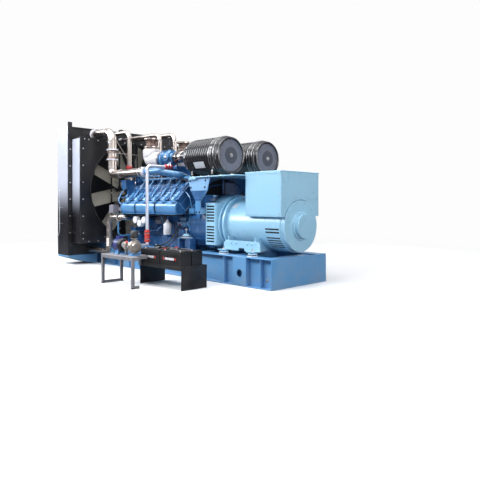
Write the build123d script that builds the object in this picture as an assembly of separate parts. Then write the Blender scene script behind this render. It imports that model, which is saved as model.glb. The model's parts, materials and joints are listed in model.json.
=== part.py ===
from build123d import *
import math
import os

# Open diesel generator set on a steel base frame, in millimetres.
# Origin: middle of the base frame's underside, on the floor.
# +X runs along the crankshaft from the radiator to the alternator, +Y away from
# the service side (where the batteries stand), +Z is up.

# Base frame
frame_length = 5210.0
frame_width = 1270.0
frame_height = 430.0
end_plate = 12.0
flange_width = 200.0
flange_plate = 16.0
web_plate = 12.0
web_setback = 85.0
cross_beam_width = 120.0
cross_beam_drop = 120.0
cross_beam_places = (-2300.0, -1480.0, -620.0, 0.0, 880.0, 1640.0, 2380.0)
lifting_plate_length = 266.0
lifting_plate_places = (-1070.0, 1980.0)
lifting_hole_radius = 55.0
lifting_hole_height = 188.0

# Radiator and shroud
radiator_depth = 450.0
radiator_inset = 55.0
radiator_half_width = 1270.0
radiator_side_width = 90.0
radiator_side_inset = 12.0
radiator_bottom = 190.0
radiator_top = 2700.0
header_height = 230.0
bottom_tank_height = 130.0
edge_flange_plate = 12.0
edge_flange_rise = 90.0
shroud_depth = 330.0
shroud_sheet = 8.0
shroud_rim_width = 120.0
shroud_rim_plate = 6.0
outrigger_tip_height = 40.0

# Fan
fan_rise = 15.0
shroud_margin = 70.0
fan_opening_gap = 35.0
fan_setback = 90.0
fan_blades = 9
fan_phase = 23.0
blade_chord = 285.0
blade_plate = 8.0
blade_pitch = 28.0
blade_root_radius = 330.0
fan_hub_apothem = 160.0
fan_hub_depth = 110.0
fan_arm_width = 90.0
fan_arm_plate = 34.0
fan_shaft_radius = 35.0
shaft_running_gap = 0.05
fan_pulley_radius = 150.0
crank_pulley_radius = 140.0
pulley_width = 70.0
belt_thickness = 14.0
belt_gap = 1.0
guard_bar_width = 30.0
guard_bar_plate = 10.0
guard_bar_places = (327.0, 507.0)
guard_bar_lap = 26.0

# Engine
crank_height = 870.0
cylinders_per_bank = 6
cylinder_pitch = 270.0
head_gap = 20.0
engine_front = -1000.0
crankcase_foot_half = 330.0
crankcase_foot = 640.0
crankcase_waist = 880.0
deck_outer_y = 535.0
deck_outer_z = 1080.0
deck_inner_y = 240.0
head_height = 127.0
rocker_height = 112.0
rocker_inset = 22.0
pan_bottom = 425.0
gear_case_depth = 90.0
flywheel_housing_length = 440.0
flywheel_housing_radius = 470.0
intake_outer_y = 750.0
intake_width = 205.0
intake_bottom = 1030.0
intake_height = 192.0
intake_corner = 70.0
intake_segments = ((-1020.0, -575.0), (-535.0, 30.0), (70.0, 630.0))
control_box_length = 150.0
control_box_gap = 150.0
manifold_radius = 55.0
manifold_standoff = 75.0
port_radius = 38.0
cooler_half_width = 142.0
cooler_height = 290.0
seat_gap = 0.3

# Turbochargers, exhaust and air filters
turbo_y = 380.0
pedestal_top = 1850.0
turbo_rise = 150.0
compressor_radius = 140.0
turbine_radius = 120.0
exhaust_x = -570.0
bellows_radius = 112.0
bellows_rise = 200.0
bellows_length = 200.0
exhaust_flange_radius = 140.0
exhaust_flange_plate = 16.0
exhaust_bore_radius = 85.0
exhaust_bolts = 8
exhaust_bolt_circle_radius = 122.0
exhaust_bolt_hole_radius = 7.0
filter_y = 420.0
filter_height = 1942.0
filter_radius = 288.0
filter_start = 620.0
filter_length = 940.0
filter_cone = 170.0
filter_mouth_radius = 172.0
filter_to_platform = 24.0
filter_cap = 34.0
platform_start = 837.0
platform_end = 1900.0
platform_half_width = 640.0
platform_plate = 18.0

# Alternator
barrel_radius = 385.0
barrel_start = 1450.0
barrel_end = 2235.0
flange_ring_radius = 462.0
adapter_start = 1080.0
adapter_end = 1330.0
adapter_drum_radius = 470.0
adapter_low = 546.0
adapter_high = 1210.0
adapter_flat_drop = 430.0
adapter_half_width = 500.0
louvre_plate = 10.0
louvre_start = 1105.0
louvre_length = 182.0
louvre_height = 26.0
louvre_pitch = 46.0
louvre_places = (602.0, 925.0)
band_end = 2540.0
band_slot_length = 263.0
band_slot_width = 24.0
band_slot_angles = (6.0, 13.0, 26.0, 32.5, 39.0, 45.5, 52.0)
band_slot_depth = 26.0
shield_end = 2575.0
cover_radius = 377.0
cover_thickness = 45.0
bearing_ring_radius = 203.0
bearing_ring_depth = 25.0
bearing_cap_radius = 176.0
bearing_cap_depth = 80.0
box_start = 1914.0
box_end = 2609.0
box_half_width = 438.0
box_bottom = 1010.0
box_top = 1650.0
lid_plate = 15.0
lid_lip = 8.0
foot_plate = 14.0
foot_y = 450.0
foot_height = 490.0
foot_top = 640.0
foot_start = 1460.0
foot_end = 2220.0
isolator_y = 500.0
alternator_isolator_places = (1510.0, 2120.0)
isolator_radius = 62.0

# Engine mounts
engine_mount_places = (-900.0, 620.0)
engine_mount_y = 520.0
engine_pedestal_top = 630.0
engine_pedestal_length = 340.0
engine_pedestal_tube = 60.0
engine_isolator_height = 70.0
engine_arm_height = 60.0
engine_arm_length = 160.0

# Batteries and their bench, heater and its stand
bench_start = 745.0
bench_end = 1740.0
bench_front = -1510.0
bench_back = -1050.0
bench_top = 325.0
bench_plate = 6.0
bench_lip = 50.0
battery_length = 465.0
battery_width = 190.0
battery_height = 200.0
battery_gap = 15.0
battery_margin = 12.0
battery_end_margin = 12.0
post_radius = 9.0
post_height = 16.0
stand_start = 290.0
stand_end = 1140.0
stand_front = -1900.0
stand_back = -1540.0
stand_top = 430.0
stand_tube = 40.0
stand_step = 980.0
stand_narrow = 120.0
heater_plate = 14.0
heater_axis_y = -1710.0
heater_motor_radius = 98.0
heater_motor_start = 420.0
heater_motor_length = 170.0
heater_pump_start = 830.0
heater_pump_length = 130.0
heater_pump_radius = 100.0
heater_motor_lift = 42.0
heater_pump_lift = 27.0

# Cables from the batteries to the starter
cable_radius = 9.0

half_length = frame_length / 2
half_width = frame_width / 2
radiator_front = -half_length + radiator_inset + radiator_depth
engine_rear = engine_front + cylinders_per_bank * cylinder_pitch
fan_x = radiator_front + shroud_depth - fan_setback
shroud_front_x = radiator_front + shroud_depth
shroud_half_width = radiator_half_width - radiator_side_width
header_bottom = radiator_top - header_height
shroud_top = header_bottom
fan_height = (frame_height + shroud_top) / 2 + fan_rise
opening_radius = (shroud_top - frame_height) / 2 - shroud_margin
fan_radius = opening_radius - fan_opening_gap
deck_rise = deck_outer_y - deck_inner_y
deck_inner_z = deck_outer_z + deck_rise
cooler_top = deck_inner_z + cooler_height
slope = math.sqrt(0.5)
turbo_height = pedestal_top + turbo_rise
bellows_foot = turbo_height + bellows_rise
platform_top = filter_height - filter_radius - filter_to_platform
bellows_top = bellows_foot + bellows_length
pieces = {}


def block(x0, x1, y0, y1, z0, z1):
    """A box given by its lowest and highest corners."""
    centre = Pos((x0 + x1) / 2, (y0 + y1) / 2, (z0 + z1) / 2)
    return centre * Box(x1 - x0, y1 - y0, z1 - z0)


def bar_x(x0, x1, y, z, radius):
    """A round bar along X."""
    return Pos((x0 + x1) / 2, y, z) * Rot(0, 90, 0) * Cylinder(radius, x1 - x0)


def bar_y(x, y0, y1, z, radius):
    """A round bar along Y."""
    return Pos(x, (y0 + y1) / 2, z) * Rot(90, 0, 0) * Cylinder(radius, y1 - y0)


def bar_z(x, y, z0, z1, radius):
    """A round bar along Z."""
    return Pos(x, y, (z0 + z1) / 2) * Cylinder(radius, z1 - z0)


def prism_x(outline, x0, x1):
    """An outline of (y, z) points drawn out along X."""
    face = make_face(Polyline(*[(x0, y, z) for y, z in outline], close=True))
    return extrude(face, amount=x1 - x0, dir=(1, 0, 0))


def prism_y(outline, y0, y1):
    """An outline of (x, z) points drawn out along Y."""
    face = make_face(Polyline(*[(x, y0, z) for x, z in outline], close=True))
    return extrude(face, amount=y1 - y0, dir=(0, 1, 0))


def pipe(points, radii, radius):
    """A round pipe along straight runs joined by tangent arcs."""
    if len(points) == 2:
        path = Line(*points)
    else:
        path = FilletPolyline(*points, radius=radii)
    section = Plane(origin=path @ 0, z_dir=path % 0) * Circle(radius)
    return sweep(section, path=path)


def far(shape):
    """The same piece on the far side of the set."""
    return mirror(shape, about=Plane.XZ)


def group(shapes):
    """Several solids that share one node."""
    return Compound(children=list(shapes))


def both_sides(shapes):
    """Solids of the near side with their twins on the far side."""
    near = list(shapes)
    return group(near + [far(shape) for shape in near])


# Base frame: two I section rails, cross beams, end plates and lifting pockets
rail_start = -half_length + end_plate
rail_end = half_length - end_plate
web_outer = half_width - web_setback
web_inner = web_outer - web_plate
flange_inner = half_width - flange_width
rail_near = block(rail_start, rail_end, -half_width, -flange_inner, 0, flange_plate)
rail_near += block(rail_start, rail_end, -half_width, -flange_inner, frame_height - flange_plate, frame_height)
rail_near += block(rail_start, rail_end, -web_outer, -web_inner, 0, frame_height)
pieces["rail_near"] = rail_near
pieces["rail_far"] = far(rail_near)

beams = []
for place in cross_beam_places:
    beam_foot = 0 if place == 0 else cross_beam_drop
    start = place - cross_beam_width / 2
    end = place + cross_beam_width / 2
    beam = block(start, end, -flange_inner, flange_inner, beam_foot, frame_height - flange_plate)
    beam += block(start, end, -web_inner, web_inner, cross_beam_drop, frame_height - flange_plate)
    beams.append(beam)
beams.append(block(rail_end, half_length, -half_width, half_width, 0, frame_height))
beams.append(block(-half_length, rail_start, -half_width, half_width, 0, frame_height))
pieces["cross_members"] = group(beams)

pockets = []
for place in lifting_plate_places:
    start = place - lifting_plate_length / 2
    end = place + lifting_plate_length / 2
    low = flange_plate
    high = frame_height - flange_plate
    pocket = block(start, end, -half_width, -half_width + web_plate, low, high)
    pocket += block(start, start + web_plate, -half_width, -web_outer, low, high)
    pocket += block(end - web_plate, end, -half_width, -web_outer, low, high)
    pocket -= bar_y(place, -half_width - 1, -half_width + web_plate + 1, lifting_hole_height, lifting_hole_radius)
    pockets.append(pocket)
pieces["lifting_pockets"] = both_sides(pockets)

# Outriggers that carry the wide radiator beside the frame
radiator_back = radiator_front - radiator_depth
outrigger_tip = radiator_half_width - 20
outrigger_span = outrigger_tip - half_width
outrigger_outline = (
    (-half_width, 0),
    (-half_width - 0.08 * outrigger_span, 0),
    (-half_width - 0.35 * outrigger_span, 0.16 * radiator_bottom),
    (-half_width - 0.63 * outrigger_span, 0.42 * radiator_bottom),
    (-outrigger_tip, radiator_bottom - outrigger_tip_height),
    (-outrigger_tip, radiator_bottom),
    (-half_width, radiator_bottom),
)
outrigger = prism_x(outrigger_outline, radiator_back, radiator_front)
pieces["radiator_outriggers"] = both_sides([outrigger])

# Radiator: tanks, core, side posts and edge flanges
tank_top = frame_height + bottom_tank_height
lower_tank = block(radiator_back, radiator_front, -shroud_half_width, shroud_half_width, frame_height, tank_top)
radiator_foot = block(
    radiator_back, radiator_front, -shroud_half_width, -half_width, radiator_bottom, frame_height)
lower_tank += radiator_foot
lower_tank += far(radiator_foot)
header = block(
    radiator_back, radiator_front, -shroud_half_width, shroud_half_width, header_bottom, radiator_top)
header += bar_z(radiator_front - 130, 0, radiator_top, radiator_top + 45, 55)
header += bar_z(radiator_front - 330, 260, radiator_top, radiator_top + 60, 24)
pieces["radiator_tanks"] = group([lower_tank, header])
pieces["radiator_core"] = block(
    radiator_back + 60, radiator_front - 60, -shroud_half_width, shroud_half_width, tank_top, header_bottom)
pieces["radiator_sides"] = both_sides([block(
    radiator_back, radiator_front, -radiator_half_width + radiator_side_inset, -shroud_half_width,
    radiator_bottom, radiator_top)])
pieces["radiator_edge_flanges"] = both_sides([block(
    radiator_front, radiator_front + edge_flange_plate, -radiator_half_width, -shroud_half_width,
    radiator_bottom, radiator_top + edge_flange_rise)])

# Shroud: a sheet box from the core to the fan opening
panel_end = shroud_front_x - shroud_sheet
inner_half = shroud_half_width - shroud_sheet - seat_gap
panels = [
    block(radiator_front, panel_end, -inner_half, inner_half, shroud_top - shroud_sheet, shroud_top),
    block(radiator_front, panel_end, -inner_half, inner_half, frame_height, frame_height + shroud_sheet)]
side_sheet = block(radiator_front, panel_end, -shroud_half_width,
                   -shroud_half_width + shroud_sheet, frame_height, shroud_top)
panels += [side_sheet, far(side_sheet)]
pieces["shroud_box"] = group(panels)
front = block(shroud_front_x - shroud_sheet, shroud_front_x, -shroud_half_width, shroud_half_width,
              frame_height, shroud_top)
rim_front = shroud_front_x + shroud_rim_plate
for side in (-1, 1):
    edge = sorted((side * shroud_half_width, side * (shroud_half_width - shroud_rim_width)))
    front += block(shroud_front_x, rim_front, edge[0], edge[1], frame_height, shroud_top)
front -= bar_x(shroud_front_x - 2 * shroud_sheet, rim_front + 1, 0, fan_height, opening_radius)
pieces["shroud_front"] = front

# Fan: hub with flats, separate blades, shaft and pulley
hub_corner = fan_hub_apothem / math.cos(math.pi / fan_blades)
hub_outline = []
for number in range(fan_blades):
    angle = 2 * math.pi * (number + 0.5) / fan_blades - math.radians(fan_phase)
    hub_outline.append((hub_corner * math.sin(angle), fan_height + hub_corner * math.cos(angle)))
rotor = prism_x(hub_outline, fan_x - fan_hub_depth / 2, fan_x + fan_hub_depth / 2)

blades = []
blade_length = fan_radius - blade_root_radius
arm_end = blade_root_radius + 120
for number in range(fan_blades):
    plate = Pos(0, 0, blade_root_radius + blade_length / 2) * Rot(0, 0, blade_pitch) * Box(
        blade_plate, blade_chord, blade_length)
    arm = Pos(0, 0, (fan_hub_apothem + arm_end) / 2) * Rot(0, 0, blade_pitch) * Box(
        fan_arm_plate, fan_arm_width, arm_end - fan_hub_apothem)
    place = Pos(fan_x, 0, fan_height) * Rot(360.0 * number / fan_blades + fan_phase, 0, 0)
    blades.append(place * (plate + arm))
pieces["fan_blades"] = group(blades)

gear_case_front = engine_front - gear_case_depth
bearing_length = 130.0
bearing_front = gear_case_front - bearing_length
pulley_start = bearing_front - 20 - pulley_width
pulley_end = pulley_start + pulley_width
rotor += bar_x(fan_x - fan_hub_depth / 2 - 20, gear_case_front - 10, 0, fan_height, fan_shaft_radius)
rotor += bar_x(pulley_start, pulley_end, 0, fan_height, fan_pulley_radius)
pieces["fan_rotor"] = rotor


def belt_face(grow):
    """The outline round both pulleys, grown by a distance."""
    big = fan_pulley_radius + grow
    small = crank_pulley_radius + grow
    lean = math.asin((big - small) / (fan_height - crank_height))
    sideways = math.cos(lean)
    upward = -math.sin(lean)
    x = pulley_start + 10
    top_right = (x, big * sideways, fan_height + big * upward)
    low_right = (x, small * sideways, crank_height + small * upward)
    top_left = (x, -big * sideways, fan_height + big * upward)
    low_left = (x, -small * sideways, crank_height + small * upward)
    edge = Wire([
        ThreePointArc(top_right, (x, 0, fan_height + big), top_left),
        Line(top_left, low_left),
        ThreePointArc(low_left, (x, 0, crank_height - small), low_right),
        Line(low_right, top_right)])
    return Face(edge)


belt_width = pulley_width - 20
belt = extrude(belt_face(belt_gap + belt_thickness), amount=belt_width, dir=(1, 0, 0))
belt -= extrude(belt_face(belt_gap), amount=belt_width, dir=(1, 0, 0))
pieces["fan_belt"] = belt

bars = []
for place in guard_bar_places:
    half_bar = math.sqrt(opening_radius ** 2 - place ** 2) + guard_bar_lap
    bars.append(block(shroud_front_x, shroud_front_x + guard_bar_plate, -place - guard_bar_width / 2,
                      -place + guard_bar_width / 2, fan_height - half_bar, fan_height + half_bar))
pieces["fan_guard_bars"] = both_sides(bars)

# Engine block, sump, gear case and flywheel housing
pieces["oil_pan"] = block(engine_front + 50, engine_rear - 40, -crankcase_foot_half + 20,
                          crankcase_foot_half - 20, pan_bottom, crankcase_foot)
half_case = (
    (-crankcase_foot_half, crankcase_foot),
    (-crankcase_foot_half, crankcase_waist),
    (-deck_outer_y, deck_outer_z),
    (-deck_inner_y, deck_inner_z),
)
case_outline = list(half_case) + [(-y, z) for y, z in reversed(half_case)]
crankcase = prism_x(case_outline, engine_front, engine_rear)
pieces["crankcase"] = crankcase
gear_case = prism_x(
    ((-310, crankcase_foot), (-310, crankcase_waist), (-400, 1040), (-210, 1400), (-170, 1640),
     (170, 1640), (210, 1400), (400, 1040), (310, crankcase_waist), (310, crankcase_foot)),
    gear_case_front, engine_front)
gear_case += bar_x(bearing_front, gear_case_front, 0, fan_height, 2.4 * fan_shaft_radius)
bearing_bore = fan_shaft_radius + shaft_running_gap
gear_case -= bar_x(bearing_front - 1, gear_case_front + 20, 0, fan_height, bearing_bore)
gear_case += bar_x(pulley_start, pulley_end, 0, crank_height, crank_pulley_radius)
gear_case += bar_x(pulley_end, gear_case_front, 0, crank_height, 60)
pieces["gear_case"] = gear_case
housing = bar_x(engine_rear, adapter_start, 0, crank_height, flywheel_housing_radius)
housing -= block(engine_rear, adapter_start, -half_width, half_width, 0, frame_height + 30)
pieces["flywheel_housing"] = housing


def along_normal(y, z, distance):
    """A point moved outwards from the near bank's deck."""
    return (y - slope * distance, z + slope * distance)


def along_deck(y, z, distance):
    """A point moved inwards and up along the near bank's deck."""
    return (y + slope * distance, z + slope * distance)


deck_outer = (-deck_outer_y, deck_outer_z)
deck_inner = (-deck_inner_y, deck_inner_z)
head_outline = (deck_outer, along_normal(*deck_outer, head_height),
                along_normal(*deck_inner, head_height), deck_inner)
rocker_low = along_deck(*head_outline[1], rocker_inset)
rocker_high = along_deck(*head_outline[2], -rocker_inset)
rocker_outline = (rocker_low, along_normal(*rocker_low, rocker_height),
                  along_normal(*rocker_high, rocker_height), rocker_high)
heads = []
rockers = []
for number in range(cylinders_per_bank):
    start = engine_front + number * cylinder_pitch + head_gap / 2
    end = start + cylinder_pitch - head_gap
    heads.append(prism_x(head_outline, start, end))
    cover = prism_x(rocker_outline, start + 15, end - 15)
    top_edges = cover.edges().filter_by(Axis.X).sort_by(Axis.Z)[1:]
    rockers.append(fillet([top_edges[0], top_edges[-1]], 24))
pieces["cylinder_heads"] = both_sides(heads)
pieces["rocker_covers"] = both_sides(rockers)

# Long rounded air manifolds under the rocker covers, in three castings a side
bank_side = prism_x((along_deck(*deck_outer, 10),
                     along_deck(*along_normal(*deck_outer, -seat_gap), -seat_gap),
                     along_deck(*along_normal(*deck_outer, head_height + rocker_height), -seat_gap),
                     along_deck(*along_normal(*deck_outer, head_height + rocker_height), 200)),
                    engine_front - 100, engine_rear + 100)
manifolds = []
for start, end in intake_segments:
    shell = block(start, end, -intake_outer_y, -intake_outer_y + intake_width,
                  intake_bottom, intake_bottom + intake_height)
    outer_edges = shell.edges().filter_by(Axis.X).sort_by(Axis.Y)[:2]
    shell = fillet(outer_edges, intake_corner)
    manifolds.append(shell - bank_side)
pieces["air_manifolds"] = both_sides(manifolds)

# Exhaust manifolds in the valley, with a port to each head
face_middle = ((head_outline[2][0] + head_outline[3][0]) / 2, (head_outline[2][1] + head_outline[3][1]) / 2)
manifold_centre = along_deck(*face_middle, manifold_standoff)
exhaust = bar_x(engine_front + 60, engine_rear - 60, manifold_centre[0], manifold_centre[1], manifold_radius)
for number in range(cylinders_per_bank):
    middle = engine_front + (number + 0.5) * cylinder_pitch
    port = Pos(middle, (face_middle[0] + manifold_centre[0]) / 2, (face_middle[1] + manifold_centre[1]) / 2)
    exhaust += port * Rot(-45, 0, 0) * Cylinder(port_radius, manifold_standoff)
pieces["charge_air_cooler"] = block(engine_front + 200, engine_rear - 120, -cooler_half_width,
                                    cooler_half_width, deck_inner_z, cooler_top)

# Turbocharger table, turbochargers and exhaust
table_half = turbo_y + 65
table_outline = ((-cooler_half_width, cooler_top), (-table_half, pedestal_top - 50), (-table_half, pedestal_top),
                 (table_half, pedestal_top), (table_half, pedestal_top - 50), (cooler_half_width, cooler_top))
turbo_table = prism_x(table_outline, -340, 260)
riser_x = 120.0
riser_top = pedestal_top - 20
turbo_table += block(riser_x - 40, riser_x + 40, -table_half, -table_half + 80, riser_top - 42,
                     pedestal_top)
pieces["turbo_table"] = turbo_table
turbine_start = -240.0
turbine_end = -100.0
compressor_start = -50.0
compressor_end = 160.0
turbo = bar_x(turbine_start, turbine_end, -turbo_y, turbo_height, turbine_radius)
turbo += bar_x(turbine_end, compressor_start, -turbo_y, turbo_height, 70)
turbo += bar_x(compressor_start, compressor_end, -turbo_y, turbo_height, compressor_radius)
turbo += block(-200, 60, -turbo_y - 50, -turbo_y + 50, pedestal_top, turbo_height - 60)
turbo += bar_y(70, -turbo_y - compressor_radius - 22, -turbo_y, turbo_height, 62)
pieces["turbochargers"] = both_sides([turbo])
duct_end = filter_start
duct = bar_x(compressor_end, duct_end, -turbo_y, turbo_height, 92)
duct += bar_x(compressor_end + 30, compressor_end + 70, -turbo_y, turbo_height, 102)
duct += bar_x(duct_end - 90, duct_end, -turbo_y, turbo_height, 106)
pieces["filter_ducts"] = both_sides([duct])

elbow = pipe([(turbine_start, -turbo_y, turbo_height), (exhaust_x, -turbo_y, turbo_height),
              (exhaust_x, -turbo_y, bellows_foot)], [120], 112)
elbow += Pos(exhaust_x, -turbo_y, bellows_foot - 45) * Cone(125, 148, 90)
pieces["exhaust_pipes"] = both_sides([exhaust, elbow])


def bellows_node(side):
    """A flanged steel bellows on one exhaust elbow."""
    y = side * turbo_y
    outline = [(exhaust_bore_radius, bellows_foot)]
    outline.append((exhaust_flange_radius, bellows_foot))
    outline.append((exhaust_flange_radius, bellows_foot + exhaust_flange_plate))
    low = bellows_foot + exhaust_flange_plate
    high = bellows_top - exhaust_flange_plate
    waves = 5
    step = (high - low) / waves
    for wave in range(waves):
        outline.append((bellows_radius - 16, low + wave * step + 0.1 * step))
        outline.append((bellows_radius, low + wave * step + 0.5 * step))
    outline.append((bellows_radius - 16, high - 0.1 * step))
    outline.append((exhaust_flange_radius, high))
    outline.append((exhaust_flange_radius, bellows_top))
    outline.append((exhaust_bore_radius, bellows_top))
    face = make_face(Polyline(*[(r, 0, z) for r, z in outline], close=True))
    shape = Pos(exhaust_x, y, 0) * revolve(face, Axis.Z, 360)
    for bolt in range(exhaust_bolts):
        angle = 2 * math.pi * (bolt + 0.5) / exhaust_bolts
        hole_x = exhaust_x + exhaust_bolt_circle_radius * math.cos(angle)
        hole_y = y + exhaust_bolt_circle_radius * math.sin(angle)
        shape -= bar_z(hole_x, hole_y, high - 1, bellows_top + 1, exhaust_bolt_hole_radius)
    return shape


pieces["exhaust_bellows"] = group([bellows_node(-1), bellows_node(1)])

# Air filters on their platform
filter_end = filter_start + filter_length
cone_end = filter_start + filter_cone
cone_face = make_face(Polyline((filter_start, 0, 0), (filter_start, 0, filter_mouth_radius),
                               (filter_start + 0.45 * filter_cone, 0, 0.75 * filter_radius),
                               (filter_start + 0.85 * filter_cone, 0, 0.97 * filter_radius),
                               (cone_end, 0, filter_radius), (cone_end, 0, 0), close=True))
barrel = Pos(0, -filter_y, filter_height) * revolve(cone_face, Axis.X, 360)
barrel += bar_x(cone_end, filter_end, -filter_y, filter_height, filter_radius)
barrel += bar_x(filter_end, filter_end + filter_cap, -filter_y, filter_height, filter_radius - 4)
barrel -= bar_x(filter_end + filter_cap - 14, filter_end + filter_cap + 1, -filter_y, filter_height,
                filter_radius - 40)
pieces["air_filters"] = both_sides([barrel])
saddles = []
for place in (cone_end + 60, filter_end - 230):
    saddle = block(place, place + 60, -filter_y - 190, -filter_y + 190, platform_top, filter_height - 150)
    saddle -= bar_x(place - 1, place + 61, -filter_y, filter_height, filter_radius + seat_gap)
    saddles.append(saddle)
pieces["filter_saddles"] = both_sides(saddles)
platform_bottom = platform_top - platform_plate
platform = block(platform_start, platform_end, -platform_half_width, platform_half_width,
                 platform_bottom, platform_top)
for side in (-110, 110):
    leg = block(platform_start + 20, platform_start + 100, side - 30, side + 30, crank_height, platform_bottom)
    platform += leg - bar_x(platform_start, platform_start + 200, 0, crank_height, flywheel_housing_radius + seat_gap)
pieces["filter_platform"] = platform

# Gusset plates that carry the platform from the flywheel housing
gusset_y = platform_half_width - 40
gusset_bottom = 1030.0
gusset_outline = ((760, platform_top - platform_plate), (1300, platform_top - platform_plate), (1230, 1400),
                  (1075, 1240), (1075, gusset_bottom), (950, gusset_bottom), (950, 1240), (830, 1400))
gusset = prism_y(gusset_outline, -gusset_y, -gusset_y + 14)
foot = block(950, 1075, -gusset_y + 14, -flywheel_housing_radius + 170, gusset_bottom, gusset_bottom + 90)
foot -= bar_x(900, 1100, 0, crank_height, flywheel_housing_radius + seat_gap)
gusset += foot
pieces["platform_gussets"] = both_sides([gusset])

# Engine mounts: tube pedestals, rubber isolators and arms
pedestals = []
isolators = []
arms = []
arm_bottom = engine_pedestal_top + engine_isolator_height
for place in engine_mount_places:
    start = place - engine_pedestal_length / 2
    end = place + engine_pedestal_length / 2
    inner = -engine_mount_y + 60
    outer = -engine_mount_y - 60
    pedestal = block(start, end, outer, inner, engine_pedestal_top - 16, engine_pedestal_top)
    pedestal += block(start, start + engine_pedestal_tube, outer, inner, frame_height, engine_pedestal_top)
    pedestal += block(end - engine_pedestal_tube, end, outer, inner, frame_height, engine_pedestal_top)
    pedestals.append(pedestal)
    isolator = bar_z(place, -engine_mount_y, engine_pedestal_top, engine_pedestal_top + 30, isolator_radius)
    isolator += bar_z(place, -engine_mount_y, engine_pedestal_top + 30, arm_bottom, 44)
    isolators.append(isolator)
    arm_start = min(place, engine_rear - engine_arm_length / 2) - engine_arm_length / 2
    arms.append(block(arm_start, arm_start + engine_arm_length, -engine_mount_y - 50, -crankcase_foot_half,
                      arm_bottom, arm_bottom + engine_arm_height))
pieces["engine_mounts"] = both_sides(pedestals + arms)

# Alternator: adapter with louvre plates, barrel, slotted band and end covers
half_adapter = adapter_half_width - louvre_plate
adapter_flat = crank_height - adapter_flat_drop
adapter = bar_x(adapter_start, adapter_end, 0, crank_height, adapter_drum_radius)
adapter -= block(adapter_start - 1, adapter_end + 1, -half_width, half_width, 0, adapter_flat)
case_start = adapter_start + 10
adapter += block(case_start, adapter_end, -half_adapter, half_adapter, adapter_low, adapter_high)
recess_depth = 40.0
for side in (-1, 1):
    edge = sorted((side * half_adapter, side * (half_adapter - recess_depth)))
    adapter -= block(louvre_start - 10, louvre_start + louvre_length + 10, edge[0], edge[1],
                     adapter_low + 30, adapter_high - 30)
pieces["alternator_adapter"] = adapter
louvres = block(case_start, adapter_end - 12, -adapter_half_width, -half_adapter, adapter_low, adapter_high)
for place in louvre_places:
    for row in range(6):
        low = place + row * louvre_pitch - louvre_height / 2
        louvres -= block(louvre_start, louvre_start + louvre_length, -adapter_half_width - 1, -half_adapter + 1,
                         low, low + louvre_height)
pieces["adapter_louvres"] = both_sides([louvres])
flange = bar_x(adapter_end, adapter_end + 35, 0, crank_height, flange_ring_radius)
flange += bar_x(adapter_end + 35, barrel_start - 40, 0, crank_height, barrel_radius)
flange += bar_x(barrel_start - 40, barrel_start, 0, crank_height, flange_ring_radius - 10)
barrel_body = flange + bar_x(barrel_start, barrel_end, 0, crank_height, barrel_radius)
barrel_body -= block(adapter_end - 1, barrel_start + 1, -half_width, half_width, 0, adapter_flat)
pieces["alternator_barrel"] = barrel_body
band = bar_x(barrel_end, band_end, 0, crank_height, barrel_radius)
band += bar_x(band_end, shield_end, 0, crank_height, barrel_radius - 6)
slot_middle = (barrel_end + band_end) / 2
for side in (0, 1):
    for angle in band_slot_angles:
        turn = angle if side == 0 else 180 - angle
        cutter = Rot(turn, 0, 0) * Pos(slot_middle, -barrel_radius, 0) * Box(
            band_slot_length, 2 * band_slot_depth, band_slot_width)
        band -= Pos(0, 0, crank_height) * cutter
pieces["alternator_band"] = band
cover_end = shield_end + cover_thickness
end_cover = bar_x(shield_end, cover_end, 0, crank_height, cover_radius)
end_cover += bar_x(cover_end, cover_end + bearing_ring_depth, 0, crank_height, bearing_ring_radius)
end_cover += bar_x(cover_end, cover_end + bearing_cap_depth, 0, crank_height, bearing_cap_radius)
pieces["alternator_end_cover"] = end_cover
box = block(box_start, box_end, -box_half_width, box_half_width, box_bottom, box_top)
box -= bar_x(box_start - 1, box_end + 1, 0, crank_height, barrel_radius + seat_gap)
box += block(box_start - lid_lip, box_end + lid_lip, -box_half_width - lid_lip, box_half_width + lid_lip,
             box_top, box_top + lid_plate)
pieces["terminal_box"] = box

# Alternator feet on four isolators
foot_middle = (foot_start + foot_end) / 2
foot_outline = ((foot_start, foot_height), (foot_middle - 60, foot_height), (foot_middle - 60, foot_height + 40),
                (foot_middle + 60, foot_height + 40), (foot_middle + 60, foot_height), (foot_end, foot_height),
                (foot_end, foot_top - 40), (foot_end - 40, foot_top), (foot_start + 40, foot_top),
                (foot_start, foot_top - 40))
foot_frame = prism_y(foot_outline, -foot_y, -foot_y + foot_plate)
foot_frame += far(foot_frame)
for place in (foot_start + 90, foot_end - 110):
    foot_frame += block(place, place + foot_plate, -foot_y, foot_y, foot_height, foot_top + 60)
for place in alternator_isolator_places:
    for side in (-1, 1):
        edge = sorted((side * (foot_y - foot_plate), side * (isolator_y + 70)))
        foot_frame += block(place - 70, place + 70, edge[0], edge[1], foot_height, foot_height + foot_plate)
foot_frame -= bar_x(barrel_start, barrel_end, 0, crank_height, barrel_radius + seat_gap)
pieces["alternator_feet"] = foot_frame
for place in alternator_isolator_places:
    cushion = bar_z(place, -isolator_y, frame_height, frame_height + 30, isolator_radius)
    cushion += bar_z(place, -isolator_y, frame_height + 30, foot_height, 40)
    isolators.append(cushion)
pieces["isolators"] = both_sides(isolators)

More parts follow.
